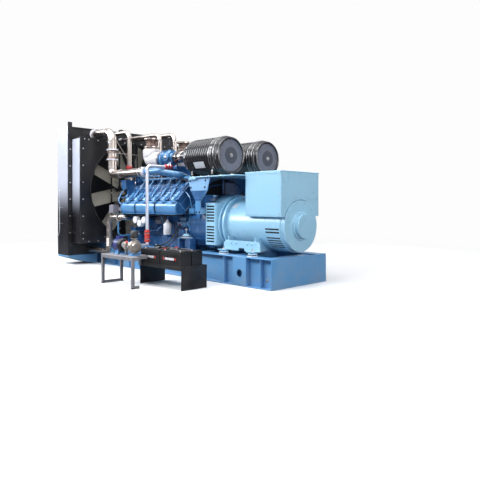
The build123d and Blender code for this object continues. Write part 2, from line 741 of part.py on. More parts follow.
# Service side of the engine: filters, cooler, starter and control box
filter_places = ((-625.0, 905.0), (-490.0, 845.0), (-355.0, 905.0))
case_side = -crankcase_foot_half
oil_filter_set = block(-720, -260, -480, case_side, 780, crankcase_waist - 5)
for place, height in filter_places:
    oil_filter_set += bar_y(place, -720, -479, height, 64)
oil_cooler = bar_x(-235, -70, -470, 905, 76)
oil_cooler += block(-235, -70, -420, case_side, 800, crankcase_waist - 5)
fuel_filter = bar_z(130, -540, 666, 850, 70)
fuel_filter += Pos(130, -540, 874) * Cone(70, 22, 48)
fuel_filter += block(60, 205, -610, case_side, 620, 666)
pieces["oil_and_fuel_filters"] = group([oil_filter_set, oil_cooler, fuel_filter])
starter = bar_x(330, engine_rear, -420, 860, 62)
starter += block(350, 560, -420, case_side, 820, crankcase_waist - 5)
starter += bar_x(380, 560, -450, 950, 36)
starter += block(400, 540, -466, -434, 900, 950)
pieces["starter_motor"] = starter - crankcase
control_end = intake_segments[0][0] - control_box_gap
control_box = block(control_end - control_box_length, control_end, -820, -700, 1020, 1170)
control_box += block(control_end - 2, intake_segments[0][0], -712, -690, 1060, 1130)
pieces["control_box"] = control_box

# Stainless coolant pipes
hot_y = -700.0
hot_top = radiator_top - 110
hot_x = -1415.0
hot_low = 1757.0
hot_pipe = pipe([(radiator_front, hot_y, hot_top), (hot_x, hot_y, hot_top), (hot_x, hot_y, hot_low),
                 (-300, hot_y, hot_low)], [190, 110], 80)
for z in (hot_top - 550, hot_top - 360):
    hot_pipe += bar_z(hot_x, hot_y, z - 8, z + 8, 112)
return_y = -850.0
return_x = -1270.0
cold_pipe = pipe([(radiator_front, return_y, 300), (return_x, return_y, 300),
                  (return_x, return_y, 945), (-900, return_y, 945), (-900, case_side, 945)],
                 [100, 130, 110], 52)
cold_pipe -= crankcase
pieces["coolant_pipes"] = group([hot_pipe, cold_pipe])
pieces["coolant_outlet"] = pipe([(-300, hot_y, hot_low), (0, hot_y, hot_low), (340, -420, 1690),
                                 (340, -cooler_half_width, 1599)], [160, 150], 58) - pieces["charge_air_cooler"]
vent_y = -300.0
vent_x = -1450.0
vent_top = radiator_top - 80
hose_top = vent_top - 660
hose_bottom = hose_top - 100
vent_low = hose_bottom - 270
bleed_top = radiator_top - 180
low_vent = pipe([(vent_x, vent_y, hose_bottom), (vent_x, vent_y, vent_low),
                 (gear_case_front + 30, vent_y + 165, vent_low)], [110], 46)
pieces["vent_pipes"] = group([
    pipe([(radiator_front, vent_y, vent_top), (vent_x, vent_y, vent_top), (vent_x, vent_y, hose_top)], [120], 46),
    low_vent - pieces["gear_case"],
    pipe([(radiator_front, -100, bleed_top), (-700, -100, bleed_top), (-700, -100, cooler_top)], [140], 38),
    pipe([(radiator_front, 100, bleed_top), (-500, 100, bleed_top), (-500, 100, cooler_top)], [140], 40)])

# Heater circuit pipe with its red rubber couplings
riser_y = -950.0
coupling_top = 760.0
coupling_bottom = 557.0
heater_level = stand_top + 130
pieces["heater_pipes"] = group([
    pipe([(riser_x, -590, riser_top), (riser_x, riser_y, riser_top), (riser_x, riser_y, coupling_top)], [60], 27),
    pipe([(riser_x, riser_y, coupling_bottom), (riser_x, riser_y, heater_level - 60),
          (735, stand_back, heater_level), (735, heater_axis_y, heater_level),
          (heater_pump_start, heater_axis_y, heater_level)], [30, 50, 45], 30)])
pieces["hose_couplings"] = group([
    bar_y(riser_x, -590, -table_half, riser_top, 40), bar_z(riser_x, riser_y, coupling_bottom, coupling_top, 42),
    bar_z(vent_x, vent_y, hose_bottom, hose_top, 56)])

# Battery bench, batteries and cables
pieces["battery_bench"] = (
    block(bench_start, bench_end, bench_front, bench_back, bench_top - bench_plate, bench_top)
    + block(bench_start, bench_end, bench_front, bench_front + bench_plate, bench_top - bench_lip, bench_top)
    + block(bench_start, bench_end, bench_back - bench_plate, bench_back, bench_top - bench_lip, bench_top)
    + block(bench_start, bench_start + bench_plate, bench_front, bench_back, 0, bench_top)
    + block(bench_end - bench_plate, bench_end, bench_front, bench_back, 0, bench_top))
batteries = []
post_inset = 55.0
post_setback = 45.0
battery_top = bench_top + battery_height
for column in (0, 1):
    for row in (0, 1):
        start = bench_start + battery_end_margin + column * (battery_length + battery_gap)
        near = bench_front + battery_margin + row * (battery_width + battery_gap)
        battery = block(start, start + battery_length, near, near + battery_width, bench_top, battery_top)
        for post_x in (start + post_inset, start + battery_length - post_inset):
            battery += bar_z(post_x, near + post_setback, battery_top, battery_top + post_height, post_radius)
        if column == 0:
            clamp_x = start + post_inset if row else start + battery_length - post_inset
            clamp_y = near + post_setback
            battery += block(clamp_x - 17, clamp_x + 17, clamp_y - 17, clamp_y + 18, battery_top + post_height,
                             battery_top + post_height + 30)
        batteries.append(battery)
pieces["batteries"] = group(batteries)


def cable(points):
    """A battery cable: each bend as wide as its two runs allow."""
    radii = []
    for before, corner, after in zip(points, points[1:], points[2:]):
        come = Vector(*corner) - Vector(*before)
        leave = Vector(*after) - Vector(*corner)
        half_turn = math.radians(come.get_angle(leave)) / 2
        radii.append(0.45 * min(come.length, leave.length) / math.tan(half_turn))
    shape = pipe(points, radii, cable_radius)
    length = shape.volume / (math.pi * cable_radius ** 2)
    print("cable length", round(length), "bends", [round(radius) for radius in radii])
    return shape


pieces["battery_cable_plus"] = cable([
    (812, -1230, 556), (812, -1145, 556), (796, -1020, 602), (745, -895, 668), (668, -785, 728),
    (570, -690, 775), (480, -590, 808), (408, -476, 841)])
pieces["battery_cable_minus"] = cable([
    (1167, -1435, 556), (1167, -1360, 556), (1130, -1282, 566), (1055, -1195, 582), (960, -1105, 593),
    (865, -1005, 600), (775, -900, 616), (700, -795, 652), (620, -705, 700), (540, -625, 752),
    (480, -545, 798), (452, -468, 826)])

# Heater stand of square tube, and the heater with its circulation pump
rail_low = stand_top - stand_tube
front_inner = stand_front + stand_tube
back_inner = stand_back - stand_tube
leg_top = rail_low - seat_gap
tie_front = front_inner + seat_gap
tie_back = back_inner - seat_gap
stand = [
    block(stand_start, stand_end, stand_front, front_inner, rail_low, stand_top),
    block(stand_start, stand_step, back_inner, stand_back, rail_low, stand_top),
    block(stand_start, stand_start + stand_tube, stand_front, front_inner, 0, leg_top),
    block(stand_start, stand_start + stand_tube, back_inner, stand_back, 0, leg_top),
    block(stand_end - stand_tube, stand_end, stand_front, front_inner, 0, leg_top)]
for z0 in (0, rail_low):
    stand.append(block(stand_start, stand_start + stand_tube, tie_front, tie_back, z0, z0 + stand_tube))
    stand.append(block(stand_end - stand_tube, stand_end, tie_front, stand_front + stand_narrow, z0, z0 + stand_tube))
stand.append(block(stand_step - stand_tube, stand_step, tie_front, tie_back, rail_low, stand_top))
stand.append(block(bench_start, bench_start + 30, stand_back + seat_gap, bench_front - seat_gap,
                   bench_top - bench_lip + 5, stand_top))
pieces["heater_stand"] = group(stand)
plate_top = stand_top + heater_plate
pieces["heater_plate"] = block(
    stand_start, stand_step, stand_front, stand_back, stand_top, plate_top) + block(
    stand_step, stand_end, stand_front, stand_front + stand_narrow, stand_top, plate_top)
motor_z = plate_top + heater_motor_radius + heater_motor_lift
motor_end = heater_motor_start + heater_motor_length
motor = bar_x(heater_motor_start, motor_end, heater_axis_y, motor_z, heater_motor_radius)
motor += block(heater_motor_start + 30, motor_end - 30, heater_axis_y - 70, heater_axis_y + 70, plate_top, motor_z)
motor += bar_x(motor_end, motor_end + 36, heater_axis_y, motor_z, heater_motor_radius - 14)
pump_z = plate_top + heater_pump_radius + heater_pump_lift
pump_end = heater_pump_start + heater_pump_length
pump_x = (heater_pump_start + pump_end) / 2
neck_top = pump_z + heater_pump_radius + 30
pump = bar_x(heater_pump_start, pump_end, heater_axis_y, pump_z, heater_pump_radius)
pump += block(heater_pump_start + 20, pump_end - 20, heater_axis_y - 60, heater_axis_y + 60, plate_top, pump_z)
pump += bar_z(pump_x, heater_axis_y, pump_z, neck_top, 30)
pump += bar_z(pump_x, heater_axis_y, neck_top, neck_top + 100, 52)
pieces["heater_pump_set"] = group([motor, pump])

for name, shape in pieces.items():
    shape.label = name
os.makedirs("parts", exist_ok=True)
for name, shape in pieces.items():
    export_step(shape, "parts/" + name + ".step")
print(len(pieces), "nodes")
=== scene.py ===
# %% [markdown]
# # Open diesel generator set
# A V engine, an alternator and a radiator with its fan stand on one steel frame, with the
# batteries and the coolant heater on small stands beside them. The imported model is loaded
# first: it is the frame that every added piece is measured from.

# %% Load the frame
import bpy
import bmesh
import json
import math
from mathutils import Matrix, Vector


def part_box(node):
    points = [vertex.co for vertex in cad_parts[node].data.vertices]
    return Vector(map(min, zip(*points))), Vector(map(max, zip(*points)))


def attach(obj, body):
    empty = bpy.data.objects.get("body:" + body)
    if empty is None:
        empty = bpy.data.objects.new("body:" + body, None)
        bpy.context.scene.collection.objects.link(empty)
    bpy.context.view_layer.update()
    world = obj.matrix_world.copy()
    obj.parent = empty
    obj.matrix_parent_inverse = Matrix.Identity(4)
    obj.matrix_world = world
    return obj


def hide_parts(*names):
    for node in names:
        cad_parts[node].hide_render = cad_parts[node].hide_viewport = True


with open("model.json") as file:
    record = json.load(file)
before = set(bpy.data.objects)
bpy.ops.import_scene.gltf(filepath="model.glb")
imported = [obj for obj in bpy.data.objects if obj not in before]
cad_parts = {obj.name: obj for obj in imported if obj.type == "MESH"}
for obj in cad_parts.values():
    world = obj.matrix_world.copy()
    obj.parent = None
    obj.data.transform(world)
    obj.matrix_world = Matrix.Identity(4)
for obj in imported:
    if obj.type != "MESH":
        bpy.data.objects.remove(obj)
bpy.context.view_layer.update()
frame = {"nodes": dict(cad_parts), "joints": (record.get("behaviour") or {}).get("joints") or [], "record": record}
nodes = frame["nodes"]

# %% [markdown]
# Colours are written as sRGB codes, as a painter would read them off a chart. The renderer
# works in linear light, so one function turns a code into linear values.

# %% Colour
def linear(code, lift=1.0):
    """An sRGB colour code as linear red, green, blue and alpha, made lighter or darker by lift."""
    values = [int(code[start:start + 2], 16) / 255 for start in (0, 2, 4)]
    curve = [v / 12.92 if v <= 0.04045 else ((v + 0.055) / 1.055) ** 2.4 for v in values]
    return [min(1.0, v * lift) for v in curve] + [1.0]


print("alternator blue in linear light", [round(v, 3) for v in linear("9fd0ea")])

# %% [markdown]
# Every finish is drawn with nodes. One small function adds a node, sets what it is given and
# links it where the value is another node's output.

# %% Node helper
def add(tree, kind, inputs=None, **options):
    """Adds a shader node with its options, values and links."""
    node = tree.nodes.new("ShaderNode" + kind)
    for name, value in options.items():
        setattr(node, name, value)
    for name, value in (inputs or {}).items():
        if isinstance(value, bpy.types.NodeSocket):
            tree.links.new(value, node.inputs[name])
        else:
            node.inputs[name].default_value = value
    return node


print("node helper ready")

# %% [markdown]
# A real paint or casting is never one flat colour. Each finish below varies softly over
# hand-sized patches, has a fine grain of its own size in millimetres, gathers some dust
# towards the floor, and changes its gloss a little from place to place.

# %% Finish helper
finishes = {}
dust_code = "9a958c"
dust_height = 0.9
plastic_ior = 1.5


def finish(name, code, roughness, metallic=0.0, coat=0.0, vary=0.1, patch_mm=260.0, grain_mm=3.0,
           bump=0.1, dust=0.12, slot="", stretch=(1, 1, 1), fabric=0.0):
    """A material with soft colour patches, fine grain, dust and uneven gloss."""
    material = bpy.data.materials.new(name)
    material.use_nodes = True
    tree = material.node_tree
    shader = tree.nodes["Principled BSDF"]
    place = add(tree, "TexCoord").outputs["Object"]
    place = add(tree, "Mapping", {"Vector": place, "Scale": stretch}).outputs["Vector"]
    patches = add(tree, "TexNoise", {"Vector": place, "Scale": 1000 / patch_mm, "Detail": 5.0,
                                     "Roughness": 0.6}).outputs["Fac"]
    grain = add(tree, "TexNoise", {"Vector": place, "Scale": 1000 / grain_mm, "Detail": 3.0}).outputs["Fac"]
    spread = add(tree, "MapRange", {"Value": patches, "From Min": 0.3, "From Max": 0.7}).outputs["Result"]
    tone = add(tree, "Mix", {0: spread, 6: linear(code, 1 - vary), 7: linear(code, 1 + vary)},
               data_type="RGBA").outputs[2]
    height = add(tree, "SeparateXYZ", {"Vector": add(tree, "TexCoord").outputs["Object"]}).outputs["Z"]
    low = add(tree, "MapRange", {"Value": height, "From Min": dust_height, "From Max": 0.0,
                                 "To Min": 0.25 * dust, "To Max": 2.2 * dust}).outputs["Result"]
    dusty = add(tree, "Math", {0: low, 1: spread}, operation="MULTIPLY").outputs["Value"]
    tone = add(tree, "Mix", {0: dusty, 6: tone, 7: linear(dust_code)}, data_type="RGBA").outputs[2]
    tree.links.new(tone, shader.inputs["Base Color"])
    gloss = add(tree, "MapRange", {"Value": patches, "From Min": 0.25, "From Max": 0.75,
                                   "To Min": max(0.03, roughness - 0.07),
                                   "To Max": min(1.0, roughness + 0.09)}).outputs["Result"]
    tree.links.new(gloss, shader.inputs["Roughness"])
    relief = add(tree, "Bump", {"Height": grain, "Strength": bump, "Distance": grain_mm / 1000})
    tree.links.new(relief.outputs["Normal"], shader.inputs["Normal"])
    shader.inputs["Metallic"].default_value = metallic
    if metallic < 0.5:
        shader.inputs["IOR"].default_value = plastic_ior
    shader.inputs["Coat Weight"].default_value = coat
    shader.inputs["Coat Roughness"].default_value = 0.2
    shader.inputs["Sheen Weight"].default_value = fabric
    material["slot"] = slot
    finishes[name] = material
    return material


print("finish helper ready, dust up to", dust_height, "m")

# %% [markdown]
# The finishes are named for what they are on a real set: enamels on castings and sheet,
# powder coat on the radiator, brushed stainless tube, silicone and rubber hose, moulded
# plastics, woven lagging and zinc plated fasteners.

# %% Paints
# Sprayed enamel on the welded frame: a smooth hard skin with soft highlights.
frame_enamel = finish("frame_blue_enamel", "5ea2d8", 0.34, coat=0.3, vary=0.08, grain_mm=6, bump=0.05,
                      dust=0.2, slot="frame_paint")
# Brushed enamel over rough castings: deep blue, glossy, uneven from the brush.
engine_enamel = finish("engine_blue_enamel", "23588c", 0.22, coat=1.0, vary=0.2, patch_mm=110, grain_mm=7,
                       bump=0.1, dust=0.1, slot="engine_paint")
turbo_enamel = finish("turbo_blue_enamel", "4079a8", 0.26, coat=0.8, vary=0.12, patch_mm=90, bump=0.08,
                      dust=0.0)
gusset_enamel = finish("gusset_blue_enamel", "83b1da", 0.28, coat=0.6, vary=0.05, bump=0.03, dust=0.0)
# Sprayed enamel over smooth castings: a paler blue with a long bright highlight and orange peel.
manifold_enamel = finish("manifold_blue_enamel", "528fc2", 0.22, coat=1.0, vary=0.08, patch_mm=180,
                         grain_mm=8, bump=0.08, dust=0.06, slot="manifold_paint")
# The alternator's factory enamel is even and pale, on rolled sheet with hardly any relief.
sky_enamel = finish("alternator_sky_enamel", "9fd0ea", 0.26, coat=0.9, vary=0.04, patch_mm=800, grain_mm=4,
                    bump=0.02, dust=0.08, slot="alternator_paint")
# Thin enamels on small parts: satin, almost one flat colour.
white_enamel = finish("white_can_enamel", "e9e9ec", 0.3, coat=0.3, vary=0.04, dust=0.05,
                      slot="filter_can_paint")
grey_enamel = finish("grey_box_enamel", "85848f", 0.4, vary=0.08, grain_mm=4, bump=0.1,
                     slot="control_box_paint")
# Aluminium paint on the heater's table: half metallic, worn in patches.
finish("silver_stand_paint", "94949b", 0.4, metallic=0.4, vary=0.14, patch_mm=90, dust=0.2,
       slot="stand_steel")
motor_enamel = finish("motor_navy_enamel", "1b2f86", 0.28, coat=0.5, vary=0.12, patch_mm=60,
                      slot="heater_paint")
# Powder coat on sheet: baked plastic paint, nearly black with a blue cast.
powder_coat = finish("black_powder_coat", "0b0c12", 0.36, coat=0.15, vary=0.18, grain_mm=2.5, bump=0.1,
                     dust=0.06, slot="black_sheet")
print(len(finishes), "paints")

# %% [markdown]
# A bare metal has no colour beside its shine: it tints what it mirrors. So the metals differ in
# how grey and how rough they are. Worn or dipped ones are set as partly metal, which dulls them.

# %% Metals
# Brushed 304 stainless: long fine scratches, warm grey, bright.
stainless = finish("brushed_stainless", "c0b6af", 0.28, metallic=1.0, vary=0.03, patch_mm=1500, grain_mm=1.5,
                   bump=0.0, dust=0.0, slot="stainless_pipe")
# The small riser pipe is pickled, not brushed: whiter and softer than the wide pipe.
pickled_stainless = finish("pickled_stainless", "e4e5ee", 0.4, metallic=0.7, vary=0.03, patch_mm=300,
                           bump=0.0, dust=0.0)
# Stays and cast pump bodies are left as they came from the mill or the mould: duller, uneven.
dull_stainless = finish("dull_stainless", "aca299", 0.34, metallic=0.9, vary=0.12, patch_mm=90, bump=0.04,
                        dust=0.04, slot="stainless_pipe")
# Bellows run hot enough to tint: a thin oxide turns the steel straw brown.
tinted_stainless = finish("heat_tinted_stainless", "9c8a82", 0.36, metallic=0.9, vary=0.1, patch_mm=90,
                          bump=0.04, dust=0.0)
# Zinc plate on fasteners: a bright, slightly blotched grey.
zinc = finish("zinc_plated_steel", "c6c4c2", 0.32, metallic=1.0, vary=0.14, patch_mm=25, dust=0.1)
# Blackened iron of the fan's hub: dark, with the bite of the casting.
black_iron = finish("black_iron", "2b2c31", 0.4, metallic=0.6, vary=0.2, patch_mm=60, bump=0.2,
                    slot="rotor_steel")
# Aluminium fins under a black dip: they swallow light.
fin_metal = finish("coated_fin_aluminium", "202329", 0.5, metallic=0.5, vary=0.2, patch_mm=200, dust=0.06,
                   slot="radiator_fins")
# Anodised aluminium plates are pale and satin, without print.
pale_plate = finish("bare_aluminium_plate", "d9dde2", 0.4, metallic=0.4, vary=0.05, dust=0.0)
print(len(finishes), "paints and metals")

# %% [markdown]
# Rubber, plastic and cloth scatter light under a thin clear surface. What tells them apart is
# their grain: the weave of a hose, the marks of a mould, the creases of a wrap.

# %% Rubbers, plastics and cloth
# Silicone hose: satin, with the weave of its cloth just showing.
red_silicone = finish("red_silicone_hose", "c5332e", 0.42, vary=0.1, grain_mm=4, bump=0.25, dust=0.05,
                      slot="red_hose")
# Rubber of mounts, sleeves and cables: black, with a broad weak shine.
rubber = finish("black_rubber", "0b0b0e", 0.45, vary=0.18, grain_mm=3, bump=0.12, dust=0.06,
                slot="black_rubber")
# Glass filled nylon fan blades: matt grey beige, slightly uneven from the mould.
finish("nylon_blades", "bab5a6", 0.5, vary=0.08, patch_mm=120, grain_mm=5, bump=0.12, dust=0.05,
       slot="fan_plastic")
# Moulded polypropylene: the filters come from a polished mould, the batteries from a grained one.
filter_plastic = finish("black_filter_plastic", "121119", 0.24, coat=0.7, vary=0.18, grain_mm=3, bump=0.03,
                        dust=0.02, slot="filter_housing")
battery_plastic = finish("battery_polypropylene", "0a0a0d", 0.4, vary=0.18, grain_mm=2, bump=0.12, dust=0.05,
                         slot="battery_case")
# Glass cloth with an aluminium face: pale, creased, between cloth and foil.
lagging = finish("silvered_lagging_cloth", "cbc9cb", 0.5, metallic=0.2, vary=0.12, patch_mm=60, grain_mm=30,
                 bump=0.8, dust=0.0, slot="exhaust_lagging", fabric=0.2)
# What lies behind a vent or behind the bracket's arch gets no light: this near-black is painted shade.
dark_inside = finish("dark_inside", "08090d", 0.8, vary=0.2, dust=0.0)
# The holes of the filters' end discs, about 3 mm on the real part, are drawn as a 9 mm grain.
dark_mesh = finish("dark_filter_mesh", "474954", 0.45, metallic=0.2, vary=0.2, patch_mm=30, grain_mm=9,
                   bump=0.4, dust=0.0)
grey_mesh = finish("grey_filter_mesh", "6d6f7b", 0.5, metallic=0.2, vary=0.12, patch_mm=40, grain_mm=9,
                   bump=0.6, dust=0.0)
print(len(finishes), "finishes")

# %% [markdown]
# The radiator's side sheets carry a glossy coat. In daylight from above they mirror the bright
# room at the top and fade to nearly black by the floor. A mirror coat would need the whole room
# around it, so the reflection is painted in: this finish blends the sheet's dark colour into a
# pale painted reflection by height, with a soft, slightly streaky border.

# %% Side sheet finish
fade_low, fade_high = 0.94, 1.66
side_sheet = finish("glossy_side_sheet_painted_reflection", "131218", 0.24, coat=0.1, vary=0.12, patch_mm=300, grain_mm=3,
                    bump=0.04, dust=0.01, slot="radiator_side_sheet", stretch=(1, 1, 0.25))
tree = side_sheet.node_tree
shader = tree.nodes["Principled BSDF"]
dark_tone = shader.inputs["Base Color"].links[0].from_socket
sheet_z = add(tree, "SeparateXYZ", {"Vector": add(tree, "TexCoord").outputs["Object"]}).outputs["Z"]
rise = add(tree, "MapRange", {"Value": sheet_z, "From Min": fade_low, "From Max": fade_high},
           interpolation_type="SMOOTHSTEP").outputs["Result"]
# Painted reflection: the pale colour stands for the bright room mirrored in the sheet's upper part.
pale_tone = add(tree, "Mix", {0: rise, 6: dark_tone, 7: linear("bcc0ce")}, data_type="RGBA").outputs[2]
tree.links.new(pale_tone, shader.inputs["Base Color"])
print("side sheet fades over", round(fade_high - fade_low, 2), "m")

# %% [markdown]
# Small parts such as bolts, flanges, ribs and tubes are built from turned, bent and boxed
# shapes. Each could be an object of its own, but a workpiece gathers any number of them into
# one mesh with one finish, so that a row of bolts is one piece. X runs along the crankshaft,
# and the near side faces minus Y.

# %% Directions and bent lines
lengthwise, to_front = (1, 0, 0), (-1, 0, 0)
nearside, upward, downward = (0, -1, 0), (0, 0, 1), (0, 0, -1)


def around(count, first=0.0):
    """Evenly spaced angles of one turn, in radians; first is in degrees."""
    return [math.radians(first + 360 / count * number) for number in range(count)]


def rounded_path(points, radius, steps=7):
    """The points of a bent line whose corners are arcs."""
    points = [Vector(p) for p in points]
    bends = radius if isinstance(radius, list) else [radius] * len(points)
    path = [points[0]]
    for before, corner, after, radius in zip(points, points[1:], points[2:], bends):
        back = (before - corner).normalized()
        on = (after - corner).normalized()
        half = back.angle(on) / 2
        reach = min(radius / math.tan(half), 0.49 * (before - corner).length, 0.49 * (after - corner).length)
        bend = reach * math.tan(half)
        centre = corner + (back + on).normalized() * (bend / math.sin(half))
        start = corner + back * reach - centre
        end = corner + on * reach - centre
        sweep = start.angle(end)
        for step in range(steps + 1):
            share = step / steps
            turned = (start * math.sin((1 - share) * sweep) + end * math.sin(share * sweep)) / math.sin(sweep)
            path.append(centre + turned)
    path.append(points[-1])
    return path


elbow_example = rounded_path([(0, 0, 0), (1, 0, 0), (1, 1, 0)], 0.05)
print("a right angle with a bend has", len(elbow_example), "points")

# %% Workpiece
class Workpiece:
    """Simple solids that share one mesh, one finish and one body."""

    def __init__(self):
        self.mesh = bmesh.new()

    def block(self, low, high, turn=None):
        """A box between two corners, turned as a whole if a matrix is given."""
        low, high = Vector(low), Vector(high)
        place = Matrix.Translation((low + high) / 2) @ Matrix.Diagonal((*(high - low), 1))
        bmesh.ops.create_cube(self.mesh, size=1, matrix=(turn or Matrix()) @ place)

    def rings(self, loops, closed=False):
        """Skins a row of rings of points; single points close the ends."""
        made = [[self.mesh.verts.new(p) for p in loop] for loop in loops]
        pairs = list(zip(made, made[1:])) + ([(made[-1], made[0])] if closed else [])
        for one, two in pairs:
            count = max(len(one), len(two))
            for place in range(count):
                corners = [one[place % len(one)], one[(place + 1) % len(one)],
                           two[(place + 1) % len(two)], two[place % len(two)]]
                corners = list(dict.fromkeys(corners))
                if len(corners) > 2:
                    self.mesh.faces.new(corners)
        if not closed:
            for loop in (made[0], made[-1]):
                if len(loop) > 2:
                    self.mesh.faces.new(loop)

    def turned(self, centre, axis, profile, sides=32, closed=False):
        """A turned shape: a profile of (radius, distance along the axis)."""
        axis = Vector(axis).normalized()
        turn = axis.to_track_quat("Z", "Y").to_matrix()
        loops = []
        for radius, along in profile:
            if radius < 1e-6:
                loops.append([Vector(centre) + axis * along])
                continue
            loops.append([Vector(centre) + turn @ Vector((radius * math.cos(a), radius * math.sin(a), along))
                          for a in around(sides)])
        self.rings(loops, closed)

    def collar(self, centre, axis, inner, outer, low, high, sides=40, chamfer=0.0):
        """A flat ring between two radii and two distances along its axis."""
        profile = [(inner, low), (outer, low + chamfer), (outer, high - chamfer), (inner, high)]
        self.turned(centre, axis, profile, sides, closed=True)

    def bar(self, start, end, radius, tip=None, sides=20):
        """A round bar, or a cone with a smaller tip."""
        start, end = Vector(start), Vector(end)
        length = (end - start).length
        self.turned(start, end - start, [(radius, 0), (radius if tip is None else tip, length)], sides)

    def hoop(self, centre, axis, radius, wire, sides=32):
        """A ring of round wire."""
        profile = [(radius + wire * math.cos(a), wire * math.sin(a)) for a in around(8)]
        self.turned(centre, axis, profile, sides, closed=True)

    def bent(self, points, radius, bend=0.05, sides=12, steps=7):
        """A tube along a bent line; bend may be a list with one value for each corner."""
        path = rounded_path(points, bend, steps)
        loops = []
        side = None
        for place, point in enumerate(path):
            ahead = path[min(place + 1, len(path) - 1)] - path[max(place - 1, 0)]
            ahead.normalize()
            side = ahead.orthogonal() if side is None else side - ahead * side.dot(ahead)
            side.normalize()
            other = ahead.cross(side)
            loops.append([point + radius * (side * math.cos(a) + other * math.sin(a)) for a in around(sides)])
        self.rings(loops)

    def bolt(self, place, axis, size, washer=True):
        """A hexagon head; size is the radius of the head's corners."""
        if washer:
            self.turned(place, axis, [(1.35 * size, -0.001), (1.35 * size, 0.18 * size)], 16)
        self.turned(place, axis, [(size, 0), (size, 0.7 * size), (0.8 * size, 0.85 * size)], 6)

    def bolts(self, places, axis, size, washer=True):
        """Heads of one size at several places."""
        for place in places:
            self.bolt(place, axis, size, washer)

    def twin(self):
        """Adds the same shapes on the far side of the set."""
        geometry = self.mesh.verts[:] + self.mesh.edges[:] + self.mesh.faces[:]
        copied = bmesh.ops.duplicate(self.mesh, geom=geometry)
        verts = [g for g in copied["geom"] if isinstance(g, bmesh.types.BMVert)]
        bmesh.ops.scale(self.mesh, vec=(1, -1, 1), verts=verts)

    def show(self, name, material, body="set", bevel=0.0, smooth_degrees=40, replaces=()):
        """Makes the object, gives it its finish and lets it ride on its body."""
        bmesh.ops.recalc_face_normals(self.mesh, faces=self.mesh.faces[:])
        data = bpy.data.meshes.new(name)
        self.mesh.to_mesh(data)
        self.mesh.free()
        data.shade_smooth()
        data.set_sharp_from_angle(angle=math.radians(smooth_degrees))
        piece = bpy.data.objects.new(name, data)
        bpy.context.collection.objects.link(piece)
        data.materials.append(material)
        if bevel:
            edge = piece.modifiers.new("edges", "BEVEL")
            edge.width = bevel
            edge.segments = 2
            edge.limit_method = "ANGLE"
            edge.angle_limit = math.radians(smooth_degrees)
            edge.harden_normals = True
        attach(piece, body)
        if replaces:
            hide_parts(*replaces)
        print(name, len(data.polygons), "faces")
        return piece


print("workpiece ready")

# %% [markdown]
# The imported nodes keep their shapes. Their sharp machine edges get a small round, because a
# real edge is broken by the file, the brush or the paint and catches a line of light.

# %% Dress the frame's nodes
finish_of_slot = {}
for material in finishes.values():
    finish_of_slot.setdefault(material["slot"], material)
slot_of_node = {part["node"]: part["material_slot"] for part in frame["record"]["subparts"]}
own_finish = {"heater_pipes": pickled_stainless, "coolant_outlet": turbo_enamel,
              "platform_gussets": gusset_enamel, "starter_motor": manifold_enamel,
              "exhaust_bellows": tinted_stainless}
edge_round = {"rail_near": 0.004, "rail_far": 0.004, "cross_members": 0.003, "lifting_pockets": 0.003,
              "terminal_box": 0.005, "air_manifolds": 0.006, "cylinder_heads": 0.006, "rocker_covers": 0.008,
              "turbochargers": 0.012, "crankcase": 0.01, "fan_blades": 0.003, "fan_guard_bars": 0.001,
              "shroud_box": 0.002, "shroud_front": 0.001, "battery_bench": 0.002, "exhaust_bellows": 0.002,
              "adapter_louvres": 0.002, "alternator_band": 0.002, "heater_stand": 0.002, "fan_belt": 0.002}
for name, node in nodes.items():
    node.data.materials.clear()
    node.data.materials.append(own_finish.get(name, finish_of_slot[slot_of_node[name]]))
    if "custom_normal" in node.data.attributes:
        node.data.attributes.remove(node.data.attributes["custom_normal"])
    node.data.shade_smooth()
    weld = node.modifiers.new("weld", "WELD")
    weld.merge_threshold = 0.00002
    flat = node.modifiers.new("flat", "DECIMATE")
    flat.decimate_type = "DISSOLVE"
    flat.angle_limit = math.radians(0.6)
    edge = node.modifiers.new("edges", "BEVEL")
    edge.width = edge_round.get(name, 0.005)
    edge.segments = 2
    edge.limit_method = "ANGLE"
    edge.angle_limit = math.radians(32)
    node.modifiers.new("shading", "WEIGHTED_NORMAL").keep_sharp = False
print("dressed", len(nodes), "nodes")

# %% [markdown]
# The radiator is a wide box of folded sheet, bolted together. Its fasteners show as small
# bright dots in even rows, which give the eye its size. The rows are placed from the
# packed sheets they hold.

# %% Radiator fasteners
side_low, side_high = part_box("radiator_sides")
flange_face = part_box("radiator_edge_flanges")[1].x
rim_low, rim_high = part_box("shroud_front")
bolt_size = 0.010
bolts = Workpiece()
for height in (2.096, 1.771, 1.446, 1.121, 0.804):
    bolts.bolts([(side_low.x + setback, side_low.y, height) for setback in (0.08, 0.17, 0.225)], nearside,
                0.8 * bolt_size)
flange_top_bolt, flange_bolt_step = 2.257, 0.325
for height in [flange_top_bolt - step * flange_bolt_step for step in range(6)]:
    bolts.bolt((flange_face, side_low.y + 0.035, height), lengthwise, bolt_size)
    bolts.bolt((rim_high.x, rim_low.y + 0.06, height), lengthwise, bolt_size)
bolts.bolt((rim_high.x, rim_low.y + 0.06, 0.525), lengthwise, bolt_size)
bolts.bolt((rim_high.x, rim_low.y + 0.09, rim_high.z - 0.03), lengthwise, bolt_size)
bolts.twin()
rim_step = 0.2
for height in (rim_low.z + 0.035, rim_high.z - 0.035):
    bolts.bolts([(rim_high.x - 0.006, step * rim_step, height) for step in range(-5, 6)], lengthwise,
                bolt_size)
bolts.show("radiator_bolts", zinc)
